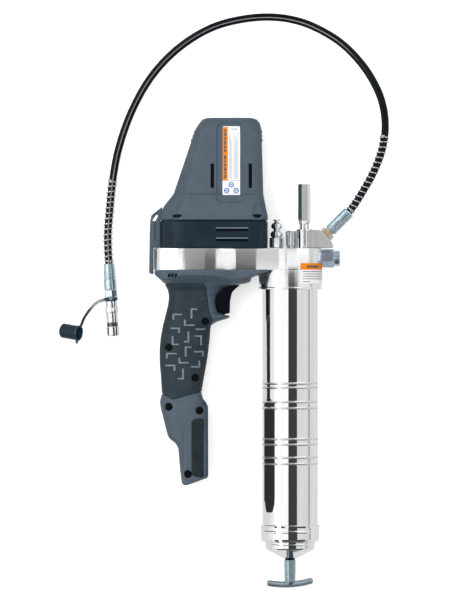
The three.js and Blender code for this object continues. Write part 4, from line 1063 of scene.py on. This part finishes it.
def add_side_label():
    def printed(x0, x1, y0, y1, ink=0.36):
        return on_cover(x0, x1, y0, y1, PANEL_DEPTH - ink, PANEL_DEPTH)

    left, right, low, top = -69.4, -51.5, 76.8, 147.4
    film = on_cover(left, right, low, top, PANEL_DEPTH - 0.3, PANEL_DEPTH + 0.3, 1)
    add("side_label_film", film, "label_film")
    add("side_label_band", printed(left, left + 5.4, 92, top - 0.8), "label_orange")
    words, y = [], 94
    for length in (3.4, 2.2, 4, 3, 2.4, 4.2, 3.2, 2.6, 4.4, 2.8, 3.6, 2.4):
        words.append(printed(left + 1.3, left + 3.9, y, y + length, 0.42))
        y += length + (3 if len(words) == 6 else 0.9)
    add("side_label_words", merged(*words), "label_ink")
    lines = [printed(left, right, 91.3, 91.8), printed(-60.5, -54.5, 144, 145)]
    for k, x in enumerate((-62.6, -61.3, -60, -57.6, -56.3, -55, -53.7)):
        lines.append(printed(x - 0.24, x + 0.24, 93.4, 141 - 4 * (k % 3)))
    add("side_label_lines", merged(*lines), "label_print")
    dots = [label_ring(x, y) for x, y in ((-60.4, 87.4), (-65.2, 81.4), (-55.6, 81.4))]
    add("side_label_dots", merged(*dots), "label_blue")


def label_ring(x, y):
    """A flat printed ring with a short bar in it."""
    flat = pose(x, y, cover_front(y) - PANEL_DEPTH, pi / 2, "X") @ Matrix.Rotation(pi, 4, "X")
    hoop = turned([(1.7, -0.6), (2.8, -0.6), (2.8, 0.4), (1.7, 0.4)], 40, 0, closed=True)
    return moved(merged(hoop, block(-1.1, 1.1, -0.6, 0.4, -0.5, 0.5)), flat)


def wrapped(x0, x1, y0, y1, radius, thick):
    """A patch wrapped round the barrel's axis; x0 and x1 are angles from the top, in degrees."""
    steps = max(2, round(abs(x1 - x0) / 2.5))
    rings = []
    for k in range(steps + 1):
        angle = radians(x0 + (x1 - x0) * k / steps)
        section = ((radius, y0), (radius + thick, y0), (radius + thick, y1), (radius, y1))
        rings.append([(r * sin(angle), y, r * cos(angle)) for r, y in section])
    return skin(rings)


def add_collar_label():
    start, end, radius = 18.6, 99, 33.02
    add("collar_label_film", wrapped(start, end, -14, 0.2, radius - 0.5, 0.62), "label_film")
    add("collar_label_band", wrapped(start, end, 0.2, 7, radius, 0.14), "label_orange")
    bars = [wrapped(31, 62, 2.2, 4.6, radius, 0.2)]
    for y, last in ((-1.7, 78), (-4.2, 84), (-6.6, 80), (-9.2, 84), (-12, 38)):
        bars.append(wrapped(22.5, last, y - 0.35, y + 0.35, radius - 0.4, 0.58))
    add("collar_label_print", merged(*bars), "label_ink")


# ---- carried-over CAD nodes, floor and light ----


def dress_cad_nodes():
    """CAD nodes that still show get the material of their slot."""
    for part in frame["record"]["subparts"]:
        node = frame["nodes"][part["node"]]
        if not node.hide_render:
            node.data.materials.clear()
            node.data.materials.append(MATERIALS[part["material_slot"]])
            node.data.set_sharp_from_angle(angle=radians(30))


def squash_springs():
    """Gives each listed spring node a mesh of its own."""
    for node, joint, axis, fixed_end, travel in (
        ("follower_spring", "follower_travel", (0, 1, 0), 0, 0.19),
        ("trigger_spring", "trigger_pull", (1, 0, 0), 0, 0.007),
        ("check_spring", "check_ball_lift", (0, 1, 0), 1, 0.0015),
    ):
        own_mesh(frame["nodes"][node])


WHITE, BLACK = (1, 1, 1, 1), (0, 0, 0, 1)


def add_floor():
    piece = build("floor", block(-4000, 4000, -4000, 4000, -HALF_DEPTH - 20, -HALF_DEPTH - 0.1))
    shader = MATERIALS["floor"].node_tree.nodes["Principled BSDF"]
    fill(shader, Emission_Color=WHITE, Emission_Strength=0.5)
    piece.data.materials.append(MATERIALS["floor"])


# Cards that only reflections see, each a box: (name, x0, x1, y0, y1, z0, z1, brightness).
# The rows are the (y0, y1, z0, z1) of overhead ones.
LOW_ROW, HEAD_ROW, TOP_ROW = (-1200, 4.2, 1000, 1001), (4.2, 29.3, 1000, 1001), (29.3, 3000, 1000, 1001)
ROOM = (-3000, 3000)
CARDS = [
    ("left", -5000, -125, *LOW_ROW, 1.15),
    ("stripe", -125, 545, *LOW_ROW, 0.055),
    ("right", 545, 5000, *LOW_ROW, 0.8),
    ("low_end", -5000, 5000, -3000, -1200, 1000, 1001, 0.08),
    ("head_left", -5000, -330, *HEAD_ROW, 1.25),
    ("head_mid", -330, -190, *HEAD_ROW, 0.29),
    ("head_grey", -190, -76, *HEAD_ROW, 0.42),
    ("head_dark", -76, 290, *HEAD_ROW, 0.12),
    ("head_right", 290, 5000, *HEAD_ROW, 1.05),
    ("head_low", -28, 100, 0.9, 23.2, 155, 156, 1.1),
    ("top_left", -5000, -200, *TOP_ROW, 0.9),
    ("top_grey", -200, 420, *TOP_ROW, 0.44),
    ("top_right", 420, 5000, *TOP_ROW, 1.25),
    ("plug", -100, 200, 400, 650, 997, 998, 0.22),
    ("strip", -1500, -900, *ROOM, 990, 992, 2.5),
    ("wall_left", -3001, -3000, *ROOM, -34, 1000, 0.95),
    ("wall_right", 3000, 3001, *ROOM, 60, 1000, 0.75),
    ("wall_line", 2990, 2991, -3000, 4, 60, 380, 0.3),
    ("wall_low", *ROOM, -3001, -3000, -34, 1000, 0.08),
    ("floor", *ROOM, *ROOM, -34.97, -34.95, 0.8),
    ("tongue_foot", -83, -69, -240, -137, -34.94, -34.92, 0.03),
]
# A dark upright card beside the barrel: its (z, y) outline.
TONGUE = [
    (-34.9, -137, 3), (-4, -133, 6), (-2, -126, 1), (12, -126, 1), (18, -133, 6), (52, -137, 3),
    (52, -242, 12), (34, -251, 12), (-14, -251, 12), (-34.9, -242, 12),
]


def add_cards():
    for name, *box, brightness in CARDS:
        add_card(name, block(*box), brightness)
    outline = fillet(TONGUE, steps=10)
    add_card("tongue", skin([[(x, y, z) for z, y in outline] for x in (-83, -82)]), 0.03)


def add_card(name, shape, brightness):
    card = build("card_" + name, shape)
    material, shader = new_material(card.name)
    fill(shader, Base_Color=BLACK, Specular_IOR_Level=0, Emission_Color=WHITE, Emission_Strength=brightness)
    card.data.materials.append(material)
    for rays in ("camera", "diffuse", "shadow", "transmission"):
        setattr(card, "visible_" + rays, False)


def add_light(name, position, target, size, power, only=()):
    """A soft lamp; with `only`, it lights just those pieces and their gloss mirrors it."""
    data = bpy.data.lights.new(name, "AREA")
    data.shape = "DISK"
    data.size, data.energy = size, power
    light = put(name, data)
    light.location = place(position)
    light.rotation_euler = (place(target) - light.location).to_track_quat("-Z", "Y").to_euler()
    light.visible_camera = False
    light.visible_glossy = bool(only)
    if only:
        lit = bpy.data.collections.new(name + "_lit")
        for piece in only:
            lit.objects.link(piece)
        light.light_linking.receiver_collection = lit


def add_studio(glossy_pieces):
    world = bpy.data.worlds.new("studio")
    world.use_nodes = True
    fill(world.node_tree.nodes["Background"], Color=WHITE, Strength=0.7)
    bpy.context.scene.world = world
    bpy.context.scene.view_settings.view_transform = "Standard"
    add_light("key", (-700, 350, 1900), (-60, -20, 0), 1.4, 42)
    add_light("fill", (900, 200, 1600), (-60, -20, 0), 1.4, 10)
    add_light("gloss", (-150, 0, 900), (-150, 0, 0), 0.5, 24, only=glossy_pieces)
    add_cards()
    add_floor()


# ---- the scene ----

add_camera()
for surface in SURFACES:
    add_material(surface)
hose, on_hose = add_hose()
dust_cap = add_dust_cap()
on_hose += add_inlet_fittings() + add_coupler() + dust_cap
add_pump_head()
add_head_fittings()
add_barrel()
add_t_handle()
add_gearcase()
add_motor_cover()
add_rear_bracket()
add_handle()
add_grip_pads()
add_grip_marks()
add_screws()
add_trigger()
add_side_label()
add_collar_label()
dress_cad_nodes()
squash_springs()
add_studio([hose, *dust_cap])
